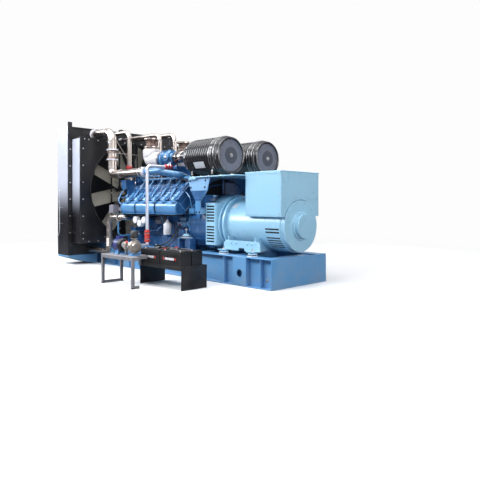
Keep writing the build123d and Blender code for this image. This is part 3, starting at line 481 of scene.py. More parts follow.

# %% [markdown]
# The sheets that close the radiator's sides are glossier than its frame. A thin box lies over
# each packed sheet, a few millimetres proud, so that the frame round it keeps its own coat.

# %% Radiator sheets
# The radiator's and the shroud's covers take the side sheet finish, with its painted reflection at the top.
covers = Workpiece()
covers.block((side_low.x + 0.045, side_low.y - 0.004, side_low.z + 0.14),
             (side_high.x - 0.015, side_low.y + 0.002, side_high.z - 0.06))
covers.twin()
covers.show("radiator_side_covers", side_sheet, bevel=0.003)
shroud_low, shroud_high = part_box("shroud_box")
covers = Workpiece()
covers.block((shroud_low.x + 0.02, shroud_low.y - 0.003, shroud_low.z + 0.02),
             (shroud_high.x - 0.01, shroud_low.y + 0.002, shroud_high.z - 0.02))
covers.twin()
covers.show("shroud_side_covers", side_sheet, bevel=0.002)

# %% [markdown]
# A sight tube shows the coolant's level, and folded lips stiffen the header. The tube is a round
# section skinned along a bent line, which needs only its corners and a bend radius.

# %% Sight tube, header trims and filler
sight = Workpiece()
tube_x = side_low.x + 0.10
tube_y = side_low.y - 0.009
sight.bent([(tube_x, tube_y, 1.47), (tube_x, tube_y, 0.66), (tube_x - 0.05, tube_y, 0.56),
            (tube_x - 0.11, tube_y, 0.54)], 0.006, 0.05, 10)
for height in (1.45, 1.12, 0.8):
    sight.block((tube_x - 0.016, tube_y - 0.006, height - 0.008),
                (tube_x + 0.016, side_low.y, height + 0.008))
sight.show("radiator_sight_tube", pale_plate)
header_x, header_top = side_high.x, side_high.z
trims = Workpiece()
trims.block((shroud_high.x - 0.02, shroud_low.y, shroud_high.z),
            (shroud_high.x + 0.006, -shroud_low.y, shroud_high.z + 0.012))
trims.block((header_x - 0.002, -1.18, header_top - 0.018), (header_x + 0.016, 1.18, header_top))
trims.block((header_x - 0.002, -1.18, shroud_high.z - 0.004), (header_x + 0.02, 1.18, shroud_high.z + 0.022))
for place in (-0.95, -0.35, 0.35, 0.95):
    trims.block((header_x, place - 0.02, shroud_high.z), (header_x + 0.008, place + 0.02, header_top))
trims.turned((header_x - 0.13, 0, header_top + 0.04), upward,
             [(0.062, 0), (0.062, 0.02), (0.05, 0.028), (0.03, 0.034), (0.0, 0.036)], 24)
trims.show("radiator_trims", powder_coat, bevel=0.0015)

# %% [markdown]
# Behind the radiator's face, air goes through flat tubes with fins between them. A wire
# grille stands before them. The fins are far finer than a picture can show, so they are
# drawn as dark columns about four times as wide as real ones.

# %% Core tubes and front grille
core_low, core_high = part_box("radiator_core")
tubes = Workpiece()
column_pitch, column_width = 0.042, 0.012
column_count = int((core_high.y - core_low.y) / column_pitch)
for number in range(column_count + 1):
    place = core_low.y + 0.01 + number * column_pitch
    for face in (core_low.x - 0.006, core_high.x - 0.002):
        tubes.block((face, place, core_low.z + 0.002),
                    (face + 0.008, place + column_width, core_high.z - 0.002))
tubes.show("core_tubes", fin_metal)
grille = Workpiece()
grille_x = side_low.x + 0.012
grille_half, wire_pitch = 1.15, 0.05
for number in range(47):
    place = -grille_half + number * wire_pitch
    grille.bar((grille_x, place, side_low.z + 0.28), (grille_x, place, side_high.z - 0.18), 0.0028, sides=6)
for number in range(7):
    height = side_low.z + 0.3 + number * 0.335
    grille.bar((grille_x + 0.005, -1.19, height), (grille_x + 0.005, 1.19, height), 0.005, sides=8)
grille.show("front_grille", powder_coat)

# %% [markdown]
# A wire guard covers the fan's opening, with a round gap for the shaft and two flat straps
# above it. It could be a pattern with holes, but real wires catch the light, and the fan's
# beige blades show between them.

# %% Fan guard
fan_centre = Vector(frame["joints"][0]["pos_m"])
guard = Workpiece()
guard_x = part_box("fan_guard_bars")[1].x + 0.0015
guard_reach, guard_gap = 0.97, 0.12
weave, half_wire = 0.02, 0.0011
for number in range(-int(guard_reach / weave), int(guard_reach / weave) + 1):
    across = number * weave
    reach = math.sqrt(guard_reach ** 2 - across ** 2)
    inner = math.sqrt(max(guard_gap ** 2 - across ** 2, 0))
    for start, end in ((-reach, -inner), (inner, reach)) if inner else ((-reach, reach),):
        guard.block((guard_x - half_wire, across - half_wire, fan_centre.z + start),
                    (guard_x + half_wire, across + half_wire, fan_centre.z + end))
        guard.block((guard_x - half_wire, start, fan_centre.z + across - half_wire),
                    (guard_x + half_wire, end, fan_centre.z + across + half_wire))
guard.hoop((guard_x, 0, fan_centre.z), lengthwise, guard_gap, 0.004, 40)
guard.hoop((guard_x - 0.003, 0, fan_centre.z), lengthwise, guard_reach, 0.006, 72)
half_strap = 0.014
for place in (0.017, 0.095):
    guard.block((guard_x - 0.002, place - half_strap, fan_centre.z + 0.13),
                (guard_x + 0.004, place + half_strap, fan_centre.z + 0.95))
guard.show("fan_guard_weave", powder_coat)
bolts = Workpiece()
for place in (0.327, 0.507):
    bolts.bolts([(guard_x, -place, fan_centre.z + height) for height in (-0.77, -0.36, -0.05, 0.3, 0.77)],
                lengthwise, 0.012)
bolts.twin()
bolts.show("guard_bar_bolts", zinc)

# %% [markdown]
# The fan turns with its hub plate, its grooved pulley and three bolts in each blade. They ride
# on the fan's body, so they are placed round its axis at the blades' own angles and twist.

# %% Fan hub
blade_count, first_blade, blade_twist = 9, 23, 28
hub = Workpiece()
hub_face = fan_centre.x + 0.055
hub.turned((hub_face, 0, fan_centre.z), lengthwise,
           [(0.125, 0), (0.125, 0.008), (0.07, 0.012), (0.06, 0.02), (0.036, 0.02)], 36)
for angle in around(blade_count, first_blade):
    place = (hub_face, -0.142 * math.sin(angle), fan_centre.z + 0.142 * math.cos(angle))
    hub.bolt(place, lengthwise, 0.009, washer=False)
pulley_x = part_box("fan_belt")[0].x + 0.006
for number in range(4):
    hub.hoop((pulley_x + 0.0127 * number, 0, fan_centre.z), lengthwise, 0.1475, 0.0025, 48)
hub.show("fan_hub_plate", black_iron, body="fan")
blade_bolts = Workpiece()
pitch = Matrix.Rotation(math.radians(blade_twist), 4, "Z")
for angle in around(blade_count, first_blade):
    turn = Matrix.Translation(fan_centre) @ Matrix.Rotation(angle, 4, "X") @ pitch
    blade_bolts.bolts([turn @ Vector((0.017, 0, along)) for along in (0.345, 0.385, 0.425)],
                      turn.to_3x3() @ Vector(lengthwise), 0.010)
blade_bolts.show("fan_blade_bolts", zinc, body="fan")

# %% [markdown]
# Hot coolant runs from the engine to the radiator's header in stainless pipes, bent or welded
# from lengths. On the real set they are tubes with a smooth skin, so each is a tube along its
# centre line, with one bend radius for each corner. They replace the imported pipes, whose
# many small faces would break up the long soft highlights.

# %% Stainless pipes
pipe_radius = 0.080
pipe_x, pipe_y = -1.415, -0.700
header_pipe_z, engine_pipe_z = 2.59, 1.757
vent_x, vent_y, vent_z = -1.45, -0.30, 2.62
return_x, return_y, return_z = -1.27, -0.85, 0.945
cooler_vent_z = 2.52
gear_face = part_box("gear_case")[0].x
cooler_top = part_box("charge_air_cooler")[1].z
pipe_routes = (
    (pipe_radius, [0.19, 0.11], [(header_x, pipe_y, header_pipe_z), (pipe_x, pipe_y, header_pipe_z),
                                 (pipe_x, pipe_y, engine_pipe_z), (-0.30, pipe_y, engine_pipe_z)]),
    (0.052, [0.10, 0.13, 0.11], [(header_x, return_y, 0.30), (return_x, return_y, 0.30),
                                 (return_x, return_y, return_z), (-0.90, return_y, return_z),
                                 (-0.90, -0.335, return_z)]),
    (0.046, [0.12], [(header_x, vent_y, vent_z), (vent_x, vent_y, vent_z), (vent_x, vent_y, 1.96)]),
    (0.046, [0.11], [(vent_x, vent_y, 1.86), (vent_x, vent_y, 1.59), (gear_face + 0.01, -0.135, 1.59)]),
    (0.038, [0.14], [(header_x, -0.10, cooler_vent_z), (-0.70, -0.10, cooler_vent_z),
                     (-0.70, -0.10, cooler_top)]),
    (0.040, [0.14], [(header_x, 0.10, cooler_vent_z), (-0.50, 0.10, cooler_vent_z),
                     (-0.50, 0.10, cooler_top)]))
pipes = Workpiece()
for radius, bends, corners in pipe_routes:
    pipes.bent(corners, radius, bends, 48, 16)
pipes.show("stainless_pipes", stainless, replaces=["coolant_pipes", "vent_pipes"])

# %% [markdown]
# A flanged bellows in the wide pipe takes up the engine's shake. Weld rings, flanges and
# clamps are what makes such a pipe look made rather than drawn.

# %% Pipe bellows
flange_levels = (2.04, 2.23)
waves = Workpiece()
for level, sign in zip(flange_levels, (1, -1)):
    for number in range(3):
        waves.hoop((pipe_x, pipe_y, level + sign * (0.020 + 0.016 * number)), upward, 0.088, 0.008, 40)
waves.show("bellows_waves", tinted_stainless)

# %% Pipe flanges
fittings = Workpiece()
flange_section = [(0.079, -0.010), (0.110, -0.010), (0.112, -0.008), (0.112, 0.008), (0.110, 0.010),
                  (0.079, 0.010)]
for level in flange_levels:
    fittings.turned((pipe_x, pipe_y, level), upward, flange_section, 48, closed=True)
    for angle in around(8):
        place = (pipe_x + 0.098 * math.cos(angle), pipe_y + 0.098 * math.sin(angle), level + 0.010)
        fittings.bolt(place, upward, 0.008, washer=False)
for place, axis in (((-1.077, pipe_y, engine_pipe_z), lengthwise),
                    ((-0.445, pipe_y, engine_pipe_z), lengthwise), ((pipe_x, pipe_y, 1.90), upward),
                    ((-1.62, pipe_y, header_pipe_z), lengthwise)):
    fittings.hoop(place, axis, pipe_radius + 0.001, 0.0028, 40)
fittings.turned((-0.345, pipe_y, engine_pipe_z), lengthwise,
                [(0.081, 0), (0.093, 0.004), (0.093, 0.020), (0.086, 0.024), (0.086, 0.036), (0.093, 0.040),
                 (0.093, 0.056), (0.081, 0.060)], 40)
fittings.bolt((-0.315, pipe_y - 0.07, engine_pipe_z + 0.078), nearside, 0.012)
for y, z, inner, outer, depth, sides in (
        (pipe_y, header_pipe_z, 0.081, 0.108, 0.018, 40), (vent_y, vent_z, 0.047, 0.066, 0.026, 28)):
    fittings.turned((header_x, y, z), lengthwise,
                    [(inner, depth), (outer, depth - 0.002), (outer, 0.0), (inner, 0.0)], sides)
for place, radius in ((-0.1, 0.05), (0.1, 0.052)):
    fittings.turned((header_x, place, cooler_vent_z), lengthwise,
                    [(radius - 0.012, 0.03), (radius, 0.03), (radius, 0.0), (radius - 0.012, 0.0)], 28)
fittings.bar((pipe_x + 0.03, pipe_y - 0.075, 2.36), (pipe_x + 0.035, pipe_y - 0.098, 2.36), 0.016)
fittings.show("pipe_flanges", pickled_stainless)

# %% [markdown]
# Thin steel rods tie the tall pipes to each other, so that they don't swing. A straight bar
# for each rod and a hoop for each clamp are enough at this size.

# %% Pipe stays
stays = Workpiece()
stay_levels = (2.172, 2.43)
stays.bar((pipe_x + 0.02, pipe_y + 0.07, stay_levels[1]), (-1.43, -0.345, 2.06), 0.009, sides=10)
stays.bar((pipe_x, pipe_y + 0.07, stay_levels[0]), (vent_x, -0.345, stay_levels[0]), 0.012, sides=10)
stays.bar((vent_x, -0.255, stay_levels[0]), (vent_x, -0.02, stay_levels[0]), 0.006, sides=8)
for level in stay_levels:
    stays.hoop((pipe_x, pipe_y, level), upward, pipe_radius + 0.002, 0.004, 32)
for level in (stay_levels[0], 2.06):
    stays.hoop((vent_x, vent_y, level), upward, 0.049, 0.006, 24)
stays.show("pipe_stays", dull_stainless)

# %% [markdown]
# Red silicone hose joins each pair of tubes. It is a little wider than the tube, swells
# between its clamps, and each clamp is a thin steel band with a screw.

# %% Hose couplings and clamps
hoses = Workpiece()
clamps = Workpiece()


def clamp(centre, axis, radius):
    """A worm clamp: a flat band with a screw housing."""
    clamps.collar(centre, axis, radius - 0.002, radius + 0.002, -0.006, 0.006, 32)
    out = Vector(axis).orthogonal().normalized()
    if out.y > 0:
        out = -out
    screw = Vector(centre) + out * (radius + 0.007)
    across = Vector(axis).cross(out).normalized()
    clamps.bar(screw - across * 0.014, screw + across * 0.018, 0.006, sides=8)


riser_x, riser_y, riser_z = 0.12, -0.95, 1.83
for level in (0.585, 0.632, 0.68, 0.728):
    hoses.hoop((riser_x, riser_y, level), upward, 0.040, 0.010, 28)
for level in (0.608, 0.704):
    clamp((riser_x, riser_y, level), upward, 0.043)
hoses.hoop((vent_x, vent_y, 1.91), upward, 0.054, 0.012, 28)
for level in (1.945, 1.875):
    clamp((vent_x, vent_y, level), upward, 0.057)
for place in (-0.575, -0.52, -0.465):
    hoses.hoop((riser_x, place, riser_z), (0, 1, 0), 0.036, 0.010, 28)
for place in (-0.548, -0.492):
    clamp((riser_x, place, riser_z), (0, 1, 0), 0.041)
hoses.show("hose_bulges", red_silicone)
clamps.show("hose_clamps", zinc)

# %% [markdown]
# The cooled water comes back low, through a short corrugated hose with a flange at each end.
# Each wave of the hose is a hoop of thick wire round the pipe.

# %% Lower coolant pipe and corrugated hose
lower = Workpiece()
for number in range(9):
    lower.hoop((return_x, return_y, 0.41 + 0.017 * number), upward, 0.055, 0.007, 32)
for level in (0.39, 0.57):
    lower.collar((return_x, return_y, level), upward, 0.05, 0.062, -0.009, 0.009, 32)
    lower.bar((return_x - 0.115, return_y - 0.02, level), (return_x - 0.05, return_y - 0.02, level), 0.006,
              sides=8)
    lower.bolt((return_x - 0.115, return_y - 0.02, level), to_front, 0.011)
for level in (0.70, 0.84):
    lower.hoop((return_x, return_y, level), upward, 0.053, 0.003, 32)
lower.bar((return_x - 0.11, return_y, 0.70), (return_x - 0.05, return_y, 0.70), 0.006, sides=8)
lower.collar((-0.93, return_y, return_z), to_front, 0.05, 0.07, -0.012, 0.012, 32)
lower.show("lower_pipe_fittings", stainless)

# %% [markdown]
# Silvered cloth is wrapped round the hot elbow from the turbine to the bellows. It is laid in
# folds and held by wire, so the wrap is a bent tube that a cloud texture pushes in and out.

# %% Exhaust lagging
stack_x, turbo_y, turbo_z = -0.57, -0.38, 2.0
elbow_bend = 0.12
stack_top = [Vector((stack_x, turbo_y, level)) for level in (2.198, 2.17)]
elbow = rounded_path([(stack_x, turbo_y, 2.13), (stack_x, turbo_y, turbo_z), (-0.34, turbo_y, turbo_z)],
                     elbow_bend, 14)
turbine_end = [Vector((x, turbo_y, turbo_z)) for x in (-0.28, -0.248)]
route = stack_top + elbow + turbine_end
elbow_count = len(route) - 6
widths = [0.146, 0.158, 0.156, 0.150]
widths += [0.150 - 0.018 * share / (elbow_count + 1) for share in range(elbow_count)] + [0.130, 0.126]
sideways = Vector((0, 1, 0))
loops = []
for number, (point, width) in enumerate(zip(route, widths)):
    ahead = (route[min(number + 1, len(route) - 1)] - route[max(number - 1, 0)]).normalized()
    across = ahead.cross(sideways)
    loops.append([point + width * (across * math.cos(a) + sideways * math.sin(a)) for a in around(40)])
wrap = Workpiece()
wrap.rings(loops)
wrap.twin()
wrapped = wrap.show("exhaust_lagging", lagging)
folds = bpy.data.textures.new("cloth_folds", "CLOUDS")
folds.noise_scale = 0.06
push = wrapped.modifiers.new("folds", "DISPLACE")
push.texture = folds
push.strength = 0.034
push.mid_level = 0.55

# %% [markdown]
# Plain steel bands end the wrap at both of its flanges. They are turned rings, and a circle
# of bolts stands on the lower one.

# %% Exhaust bands and bolts
bands = Workpiece()
bands.hoop((stack_x, turbo_y, 2.165), upward, 0.154, 0.004, 48)
for level in (2.228, 2.374):
    bands.collar((stack_x, turbo_y, level), upward, 0.110, 0.141, 0, 0.023, 48, chamfer=0.001)
bands.turned((-0.262, turbo_y, turbo_z), lengthwise,
             [(0.118, 0), (0.134, 0.003), (0.134, 0.014), (0.118, 0.018)], 40, closed=True)
bands.twin()
bands.show("lagging_bands", stainless)
flange_bolts = Workpiece()
for angle in around(8):
    place = (stack_x + 0.122 * math.cos(angle), turbo_y + 0.122 * math.sin(angle), 2.216)
    flange_bolts.bolt(place, upward, 0.010)
flange_bolts.twin()
flange_bolts.show("bellows_bolts", zinc)

# %% [markdown]
# More shapes come up again and again on this set: a flat outline drawn out along the
# crankshaft, such as a rib or an end plate, a thin plate curved round a cylinder, and a ring
# of bolt heads on a round face.

# %% Prisms, curved plates and bolt rings
def prism(work, outline, start, end):
    """An outline of (y, z) points drawn out along X."""
    work.rings([[Vector((x, y, z)) for y, z in outline] for x in (start, end)])


def curved_plate(work, centre, radius, thick, start, end, low_angle, high_angle):
    """A plate round a cylinder along X; angle 0 faces the near side, 90 faces up."""
    steps = max(2, int(abs(high_angle - low_angle) / 5))
    loops = []
    for step in range(steps + 1):
        angle = math.radians(low_angle + (high_angle - low_angle) * step / steps)
        loops.append([Vector((x, centre[0] - reach * math.cos(angle), centre[1] + reach * math.sin(angle)))
                      for x, reach in ((start, radius), (end, radius), (end, radius + thick),
                                       (start, radius + thick))])
    work.rings(loops)


def round_place(centre, radius, angle, x):
    """A point on a cylinder along X and the direction out of it."""
    out = Vector((0, -math.cos(math.radians(angle)), math.sin(math.radians(angle))))
    return Vector((x, centre[0], centre[1])) + out * radius, out


def bolt_ring(work, centre, radius, x, count, first, size, washer=True):
    """A ring of bolt heads that face along X; first is the first head's angle."""
    for number in range(count):
        place, out = round_place(centre, radius, 360 / count * number + first, x)
        work.bolt(place, lengthwise, size, washer)


print("prism, curved plate, place on a cylinder and bolt ring")

# %% [markdown]
# Each turbocharger is two snail shaped castings on one shaft. A snail grows steadily round
# its wheel and leaves on a tangent, so it is skinned ring by ring with a growing radius.

# %% Snail shape
def snail(work, centre, reach, small, big, start, sweep, outlet):
    """A volute round the X axis with a growing section and a straight outlet."""
    count = 30
    loops = []
    for step in range(count + 2):
        share = min(step / count, 1.0)
        angle = math.radians(start + sweep * share)
        size = small + (big - small) * share
        out = Vector((0, math.cos(angle), math.sin(angle)))
        middle = Vector(centre) + out * (reach - size)
        if step > count:
            middle += Vector((0, -out.z, out.y)) * math.copysign(outlet, sweep)
        loops.append([middle + size * (out * math.cos(t) + Vector(lengthwise) * math.sin(t))
                      for t in around(16)])
    work.rings(loops)


print("snail shape")

# %% Turbochargers
turbo_axis = (turbo_y, turbo_z)
compressor_x, turbine_x, inlet_x = 0.055, -0.165, 0.07
turbos = Workpiece()
snail(turbos, (compressor_x, *turbo_axis), 0.14, 0.026, 0.056, 200, -300, 0.05)
snail(turbos, (turbine_x, *turbo_axis), 0.12, 0.03, 0.05, 100, 300, 0.03)
turbos.turned((0, *turbo_axis), lengthwise, [
    (0.085, -0.24), (0.112, -0.238), (0.112, -0.222), (0.088, -0.215), (0.092, -0.12), (0.07, -0.105),
    (0.06, -0.09), (0.06, -0.07), (0.1, -0.05), (0.128, -0.045), (0.128, -0.02), (0.1, 0.0), (0.1, 0.1),
    (0.09, 0.125), (0.098, 0.128), (0.098, 0.155), (0.085, 0.16)], 40)
turbos.turned((inlet_x, -0.42, turbo_z), nearside,
              [(0.06, 0), (0.05, 0.05), (0.048, 0.1), (0.062, 0.104), (0.062, 0.118), (0.045, 0.12)], 28)
for start, end, outer, inner, low, high in (
        (-0.19, -0.12, 0.045, 0.045, 1.851, 1.93), (-0.02, 0.05, 0.045, 0.045, 1.851, 1.90),
        (0.0, 0.09, 0.065, 0.03, 2.105, 2.14), (-0.09, -0.06, 0.03, 0.03, 2.03, 2.085)):
    turbos.block((start, turbo_y - outer, low), (end, turbo_y + inner, high))
bolt_ring(turbos, turbo_axis, 0.113, 0.104, 8, 20, 0.009)
turbos.bolts([(inlet_x + 0.052 * math.cos(angle), -0.538, turbo_z + 0.052 * math.sin(angle))
              for angle in around(4, 45)], nearside, 0.008)
turbos.bent([(-0.075, turbo_y, 2.085), (-0.075, turbo_y, 2.13), (-0.075, -0.52, 2.12), (-0.09, -0.55, 1.95),
             (-0.09, -0.50, 1.845)], 0.009, 0.04, 10)
turbos.twin()
turbos.show("turbocharger_castings", turbo_enamel, bevel=0.004, replaces=["turbochargers"])
bands = Workpiece()
bands.collar((-0.243, *turbo_axis), lengthwise, 0.116, 0.127, -0.010, 0.010, chamfer=0.004)
bands.turned((inlet_x, -0.5, turbo_z), nearside, [(0.03, 0), (0.03, 0.045), (0.018, 0.05)], 20)
bands.collar((0.35, *turbo_axis), lengthwise, 0.093, 0.1, -0.035, 0.035, chamfer=0.005)
bands.collar((0.25, *turbo_axis), lengthwise, 0.104, 0.106, -0.006, 0.006)
bands.twin()
bands.show("turbocharger_bands", stainless)

# %% [markdown]
# The air filters are drums of black moulded plastic. Ribs stiffen the drum, three wider rings
# hold the lid, and the lid's end is a grey perforated disc with a darker one in its middle.
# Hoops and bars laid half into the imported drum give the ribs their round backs. The pale plate
# on the near drum has nothing written on it.

# %% Air filter ribs
filter_axis = (-0.42, 1.942)
filter_radius = 0.288
filter_end = 1.594
ribs = Workpiece()
rib_start, rib_pitch = 0.852, 0.053
for number in range(10):
    ribs.hoop((rib_start + rib_pitch * number, *filter_axis), lengthwise, filter_radius, 0.0135, 64)
for angle in range(0, 360, 12):
    start, out = round_place(filter_axis, filter_radius + 0.002, angle, 0.845)
    end, out = round_place(filter_axis, filter_radius + 0.002, angle, 1.335)
    ribs.bar(start, end, 0.006, sides=6)
for place, wide in ((1.405, 0.013), (1.475, 0.017), (1.535, 0.012)):
    ribs.hoop((place, *filter_axis), lengthwise, filter_radius, wide, 64)
ribs.hoop((filter_end - 0.006, *filter_axis), lengthwise, 0.268, 0.016, 64)
for angle in range(-30, 330, 60):
    curved_plate(ribs, filter_axis, filter_radius + 0.008, 0.014, 1.40, 1.49, angle - 4, angle + 4)
for angle in (-60, -35, 0, 30, 60, 90):
    curved_plate(ribs, filter_axis, filter_radius - 0.004, 0.016, 0.80, 0.835, angle - 4, angle + 4)
ribs.bent([(0.60, -0.38, 1.995), (0.66, -0.40, 1.97)], 0.11, sides=40)
ribs.twin()
ribs.show("filter_ribs", filter_plastic)

# %% [markdown]
# The discs are perforated sheet. Thousands of real holes would cost more than they show, so
# the holes are a grain in the finish, and only the pressed rings are geometry.

# %% Air filter discs
mesh_disc = Workpiece()
mesh_disc.turned((filter_end - 0.0135, *filter_axis), lengthwise,
                 [(0.246, 0), (0.246, 0.005), (0.15, 0.007), (0.0, 0.007)], 64)
for reach in (0.155, 0.17, 0.185, 0.2, 0.215, 0.23):
    mesh_disc.hoop((filter_end - 0.008, *filter_axis), lengthwise, reach, 0.002, 64)
mesh_disc.twin()
mesh_disc.show("filter_mesh", grey_mesh)
inner = Workpiece()
inner.turned((filter_end - 0.008, *filter_axis), lengthwise,
             [(0.13, 0), (0.13, 0.003), (0.04, 0.006), (0.0, 0.006)], 48)
inner.twin()
inner.show("filter_inner_disc", dark_mesh)

# %% [markdown]
# Thin steel bands clamp the lid. The blank plate is curved with the drum, since a flat one
# would cut into it.

# %% Air filter clips and blank plate
clips = Workpiece()
for place in (1.395, 1.44, 1.505):
    clips.collar((place, *filter_axis), lengthwise, 0.285, 0.3045, -0.004, 0.004, 72)
clips.bolt((filter_end - 0.002, *filter_axis), lengthwise, 0.024)
for x, lift, size, angles in ((1.45, 0.020, 0.016, (-38, 20)), (0.818, 0.011, 0.011, (-35, 0, 30, 60))):
    for angle in angles:
        clips.bolt(*round_place(filter_axis, filter_radius + lift, angle, x), size)
for place in (0.88, 1.36):
    clips.bolt((place, -0.605, 1.66), upward, 0.013)
    clips.bent([(place, -0.612, 1.66), (place, -0.612, 1.70), (place, -0.60, 1.735)], 0.006, 0.02, 8)
clips.twin()
clips.show("filter_clips", zinc)
patch = Workpiece()
curved_plate(patch, filter_axis, filter_radius + 0.0145, 0.002, 1.03, 1.27, -38, -18)
patch.show("filter_blank_plate", pale_plate)

# %% [markdown]
# The filters stand on a shelf of sheet, held up by gussets. Their bolts are the only small
# things on these plain faces, so they tell the eye how large the faces are.

# %% Filter platform and gusset bolts
platform_low, platform_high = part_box("filter_platform")
plates = Workpiece()
plates.block((platform_low.x, platform_low.y, platform_high.z - 0.045),
             (platform_high.x - 0.9, platform_low.y + 0.008, platform_high.z - 0.018))
plates.twin()
plates.show("platform_lips", sky_enamel, bevel=0.002)
bolts = Workpiece()
bolts.bolts([(x, platform_low.y + 0.03, platform_high.z) for x in (0.90, 1.10, 1.28, 1.55, 1.80)], upward,
            0.013)
bolts.twin()
bolts.show("platform_bolts", zinc)
gusset_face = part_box("platform_gussets")[0].y
bolts = Workpiece()
gusset_bolts = ((0.82, 1.563), (1.195, 1.563), (0.84, 1.458), (1.18, 1.458), (0.975, 1.06), (1.05, 1.06))
bolts.bolts([(x, gusset_face - 0.002, z) for x, z in gusset_bolts], nearside, 0.013)
bolts.twin()
bolts.show("gusset_bolts", black_iron)

# %% [markdown]
# Each real gusset has three facets. The upper one faces out into the light, the neck slopes
# down into shade and the foot stands below it. The imported gusset is flat, so its neck is
# painted shade in the engine's deep blue, and its foot is drawn in the manifold's middle blue.
# Behind it an arched bracket spans the flywheel housing, and a near-black sheet behind the arch
# is painted shade for the dark space under the filters.

# %% Painted shade on the gusset necks, and the arched bracket
# The neck plates are painted shade, laid over the flat imported gusset.
necks = Workpiece()
neck_outline = ((0.836, 1.406), (1.226, 1.406), (1.078, 1.242), (0.947, 1.242))
necks.rings([[Vector((x, y, z)) for x, z in neck_outline]
             for y in (gusset_face - 0.003, gusset_face + 0.001)])
necks.twin()
arch_front, arch_rear = 0.975, 0.99
arch_foot, arch_half, arch_rise = 1.33, 0.47, 0.275
bracket_half, bracket_top = 0.57, 1.611
loops = []
for degrees in range(0, 181, 5):
    across, up = math.cos(math.radians(degrees)), math.sin(math.radians(degrees))
    inside = (arch_half * across, arch_foot + arch_rise * up)
    outside = (max(-bracket_half, min(bracket_half, 0.8 * across)), min(bracket_top, arch_foot + 0.55 * up))
    loops.append([Vector((x, *place)) for x, place in (
        (arch_front, inside), (arch_front, outside), (arch_rear, outside), (arch_rear, inside))])
necks.rings(loops)
for low, high in ((-bracket_half, -0.44), (0.44, bracket_half)):
    necks.block((arch_front, low, 1.14), (arch_rear, high, 1.34))
necks.show("platform_bracket_and_neck_shade", engine_enamel, bevel=0.001)

# %% Painted shade behind the arch, rear fittings and gusset feet
# A near-black sheet behind the arch is painted shade for the dark space under the filters.
backs = Workpiece()
backs.block((0.940, -bracket_half, 1.342), (0.946, bracket_half, bracket_top))
backs.show("painted_shade_behind_arch", dark_inside)
rear = Workpiece()
rear.block((0.946, 0.05, 1.345), (0.962, 0.42, 1.55))
rear.block((0.946, -0.02, 1.36), (0.968, 0.02, 1.60))
rear.turned((0.946, 0.36, 1.47), lengthwise, [(0.07, 0), (0.07, 0.018), (0.05, 0.024), (0.0, 0.024)], 6)
rear.bent([(0.96, -0.40, 1.35), (0.96, -0.30, 1.48), (0.96, -0.05, 1.52), (0.96, 0.2, 1.585)], 0.010, 0.06,
          10)
rear.bent([(0.965, 0.42, 1.35), (0.965, 0.44, 1.48), (0.965, 0.25, 1.57)], 0.012, 0.06, 10)
rear.show("engine_rear_fittings", engine_enamel, bevel=0.002)
feet = Workpiece()
feet.block((0.952, gusset_face - 0.003, 1.031), (1.073, gusset_face + 0.001, 1.240))
feet.twin()
feet.show("gusset_feet", manifold_enamel)

# %% [markdown]
# The engine's two banks lean outwards by 45 degrees. Their fittings are placed in the bank's
# own directions: along the crankshaft, up the deck and out from the deck. Each cylinder has a
# domed cover, two injector pipes that run down beside it, nuts and a cast elbow to the air
# manifold.

# %% Directions of a bank
deck_y, deck_z = -0.535, 1.080
slope = math.sqrt(0.5)
cylinder_pitch, first_face = 0.27, -1.0
cylinders = [first_face + cylinder_pitch * (number + 0.5) for number in range(6)]


def bank(x, along, out):
    """A point on the near bank: along the deck inwards and out from it."""
    return Vector((x, deck_y + slope * (along - out), deck_z + slope * (along + out)))


bank_turn = Matrix.Translation((0, deck_y, deck_z)) @ Matrix.Rotation(math.radians(45), 4, "X")
out_of_bank = Vector((0, -slope, slope))
print("cylinders at", [round(x, 3) for x in cylinders])

# %% Rocker domes
domes = Workpiece()
dome_blocks = ((-0.123, 0.123, 0.004, 0.408, 0.122, 0.140), (-0.088, 0.088, 0.205, 0.385, 0.225, 0.262),
               (-0.060, -0.044, 0.225, 0.37, 0.255, 0.272), (0.044, 0.060, 0.225, 0.37, 0.255, 0.272),
               (-0.07, -0.03, 0.04, 0.18, 0.235, 0.25))
for middle in cylinders:
    for start, end, low, high, inside, outside in dome_blocks:
        domes.block((middle + start, low, inside), (middle + end, high, outside), bank_turn)
domes.turned(bank(0.35, 0.30, 0.26), out_of_bank,
             [(0.045, 0), (0.045, 0.02), (0.05, 0.024), (0.05, 0.045), (0.03, 0.05)], 24)
domes.twin()
domes.show("rocker_domes", engine_enamel, bevel=0.007)

# %% [markdown]
# Each cylinder breathes through a cast elbow. A tube along a bent line with a turned collar
# at each end is enough for a casting that its pipes mostly hide.

# %% Intake elbows
elbows = Workpiece()
port_y = -0.7145
for middle in cylinders:
    elbows.bent([bank(middle + 0.03, 0.185, 0.232), bank(middle + 0.025, 0.055, 0.246),
                 (middle + 0.045, -0.725, 1.272), (middle + 0.055, -0.715, 1.205)], 0.038, 0.06, 16)
    elbows.turned(bank(middle + 0.03, 0.165, 0.236), (0, -slope, -slope),
                  [(0.045, 0), (0.045, 0.02), (0.036, 0.024)], 24)
    elbows.turned((middle + 0.054, port_y, 1.222), upward, [(0.056, 0), (0.056, 0.012), (0.04, 0.018)], 24)
elbows.twin()
elbows.show("intake_elbows", manifold_enamel, bevel=0.002)

# %% [markdown]
# The injector pipes are bent cold from thick drawn tube, all to one pattern. So each route is
# written once, in the bank's own directions, and repeated for every cylinder.

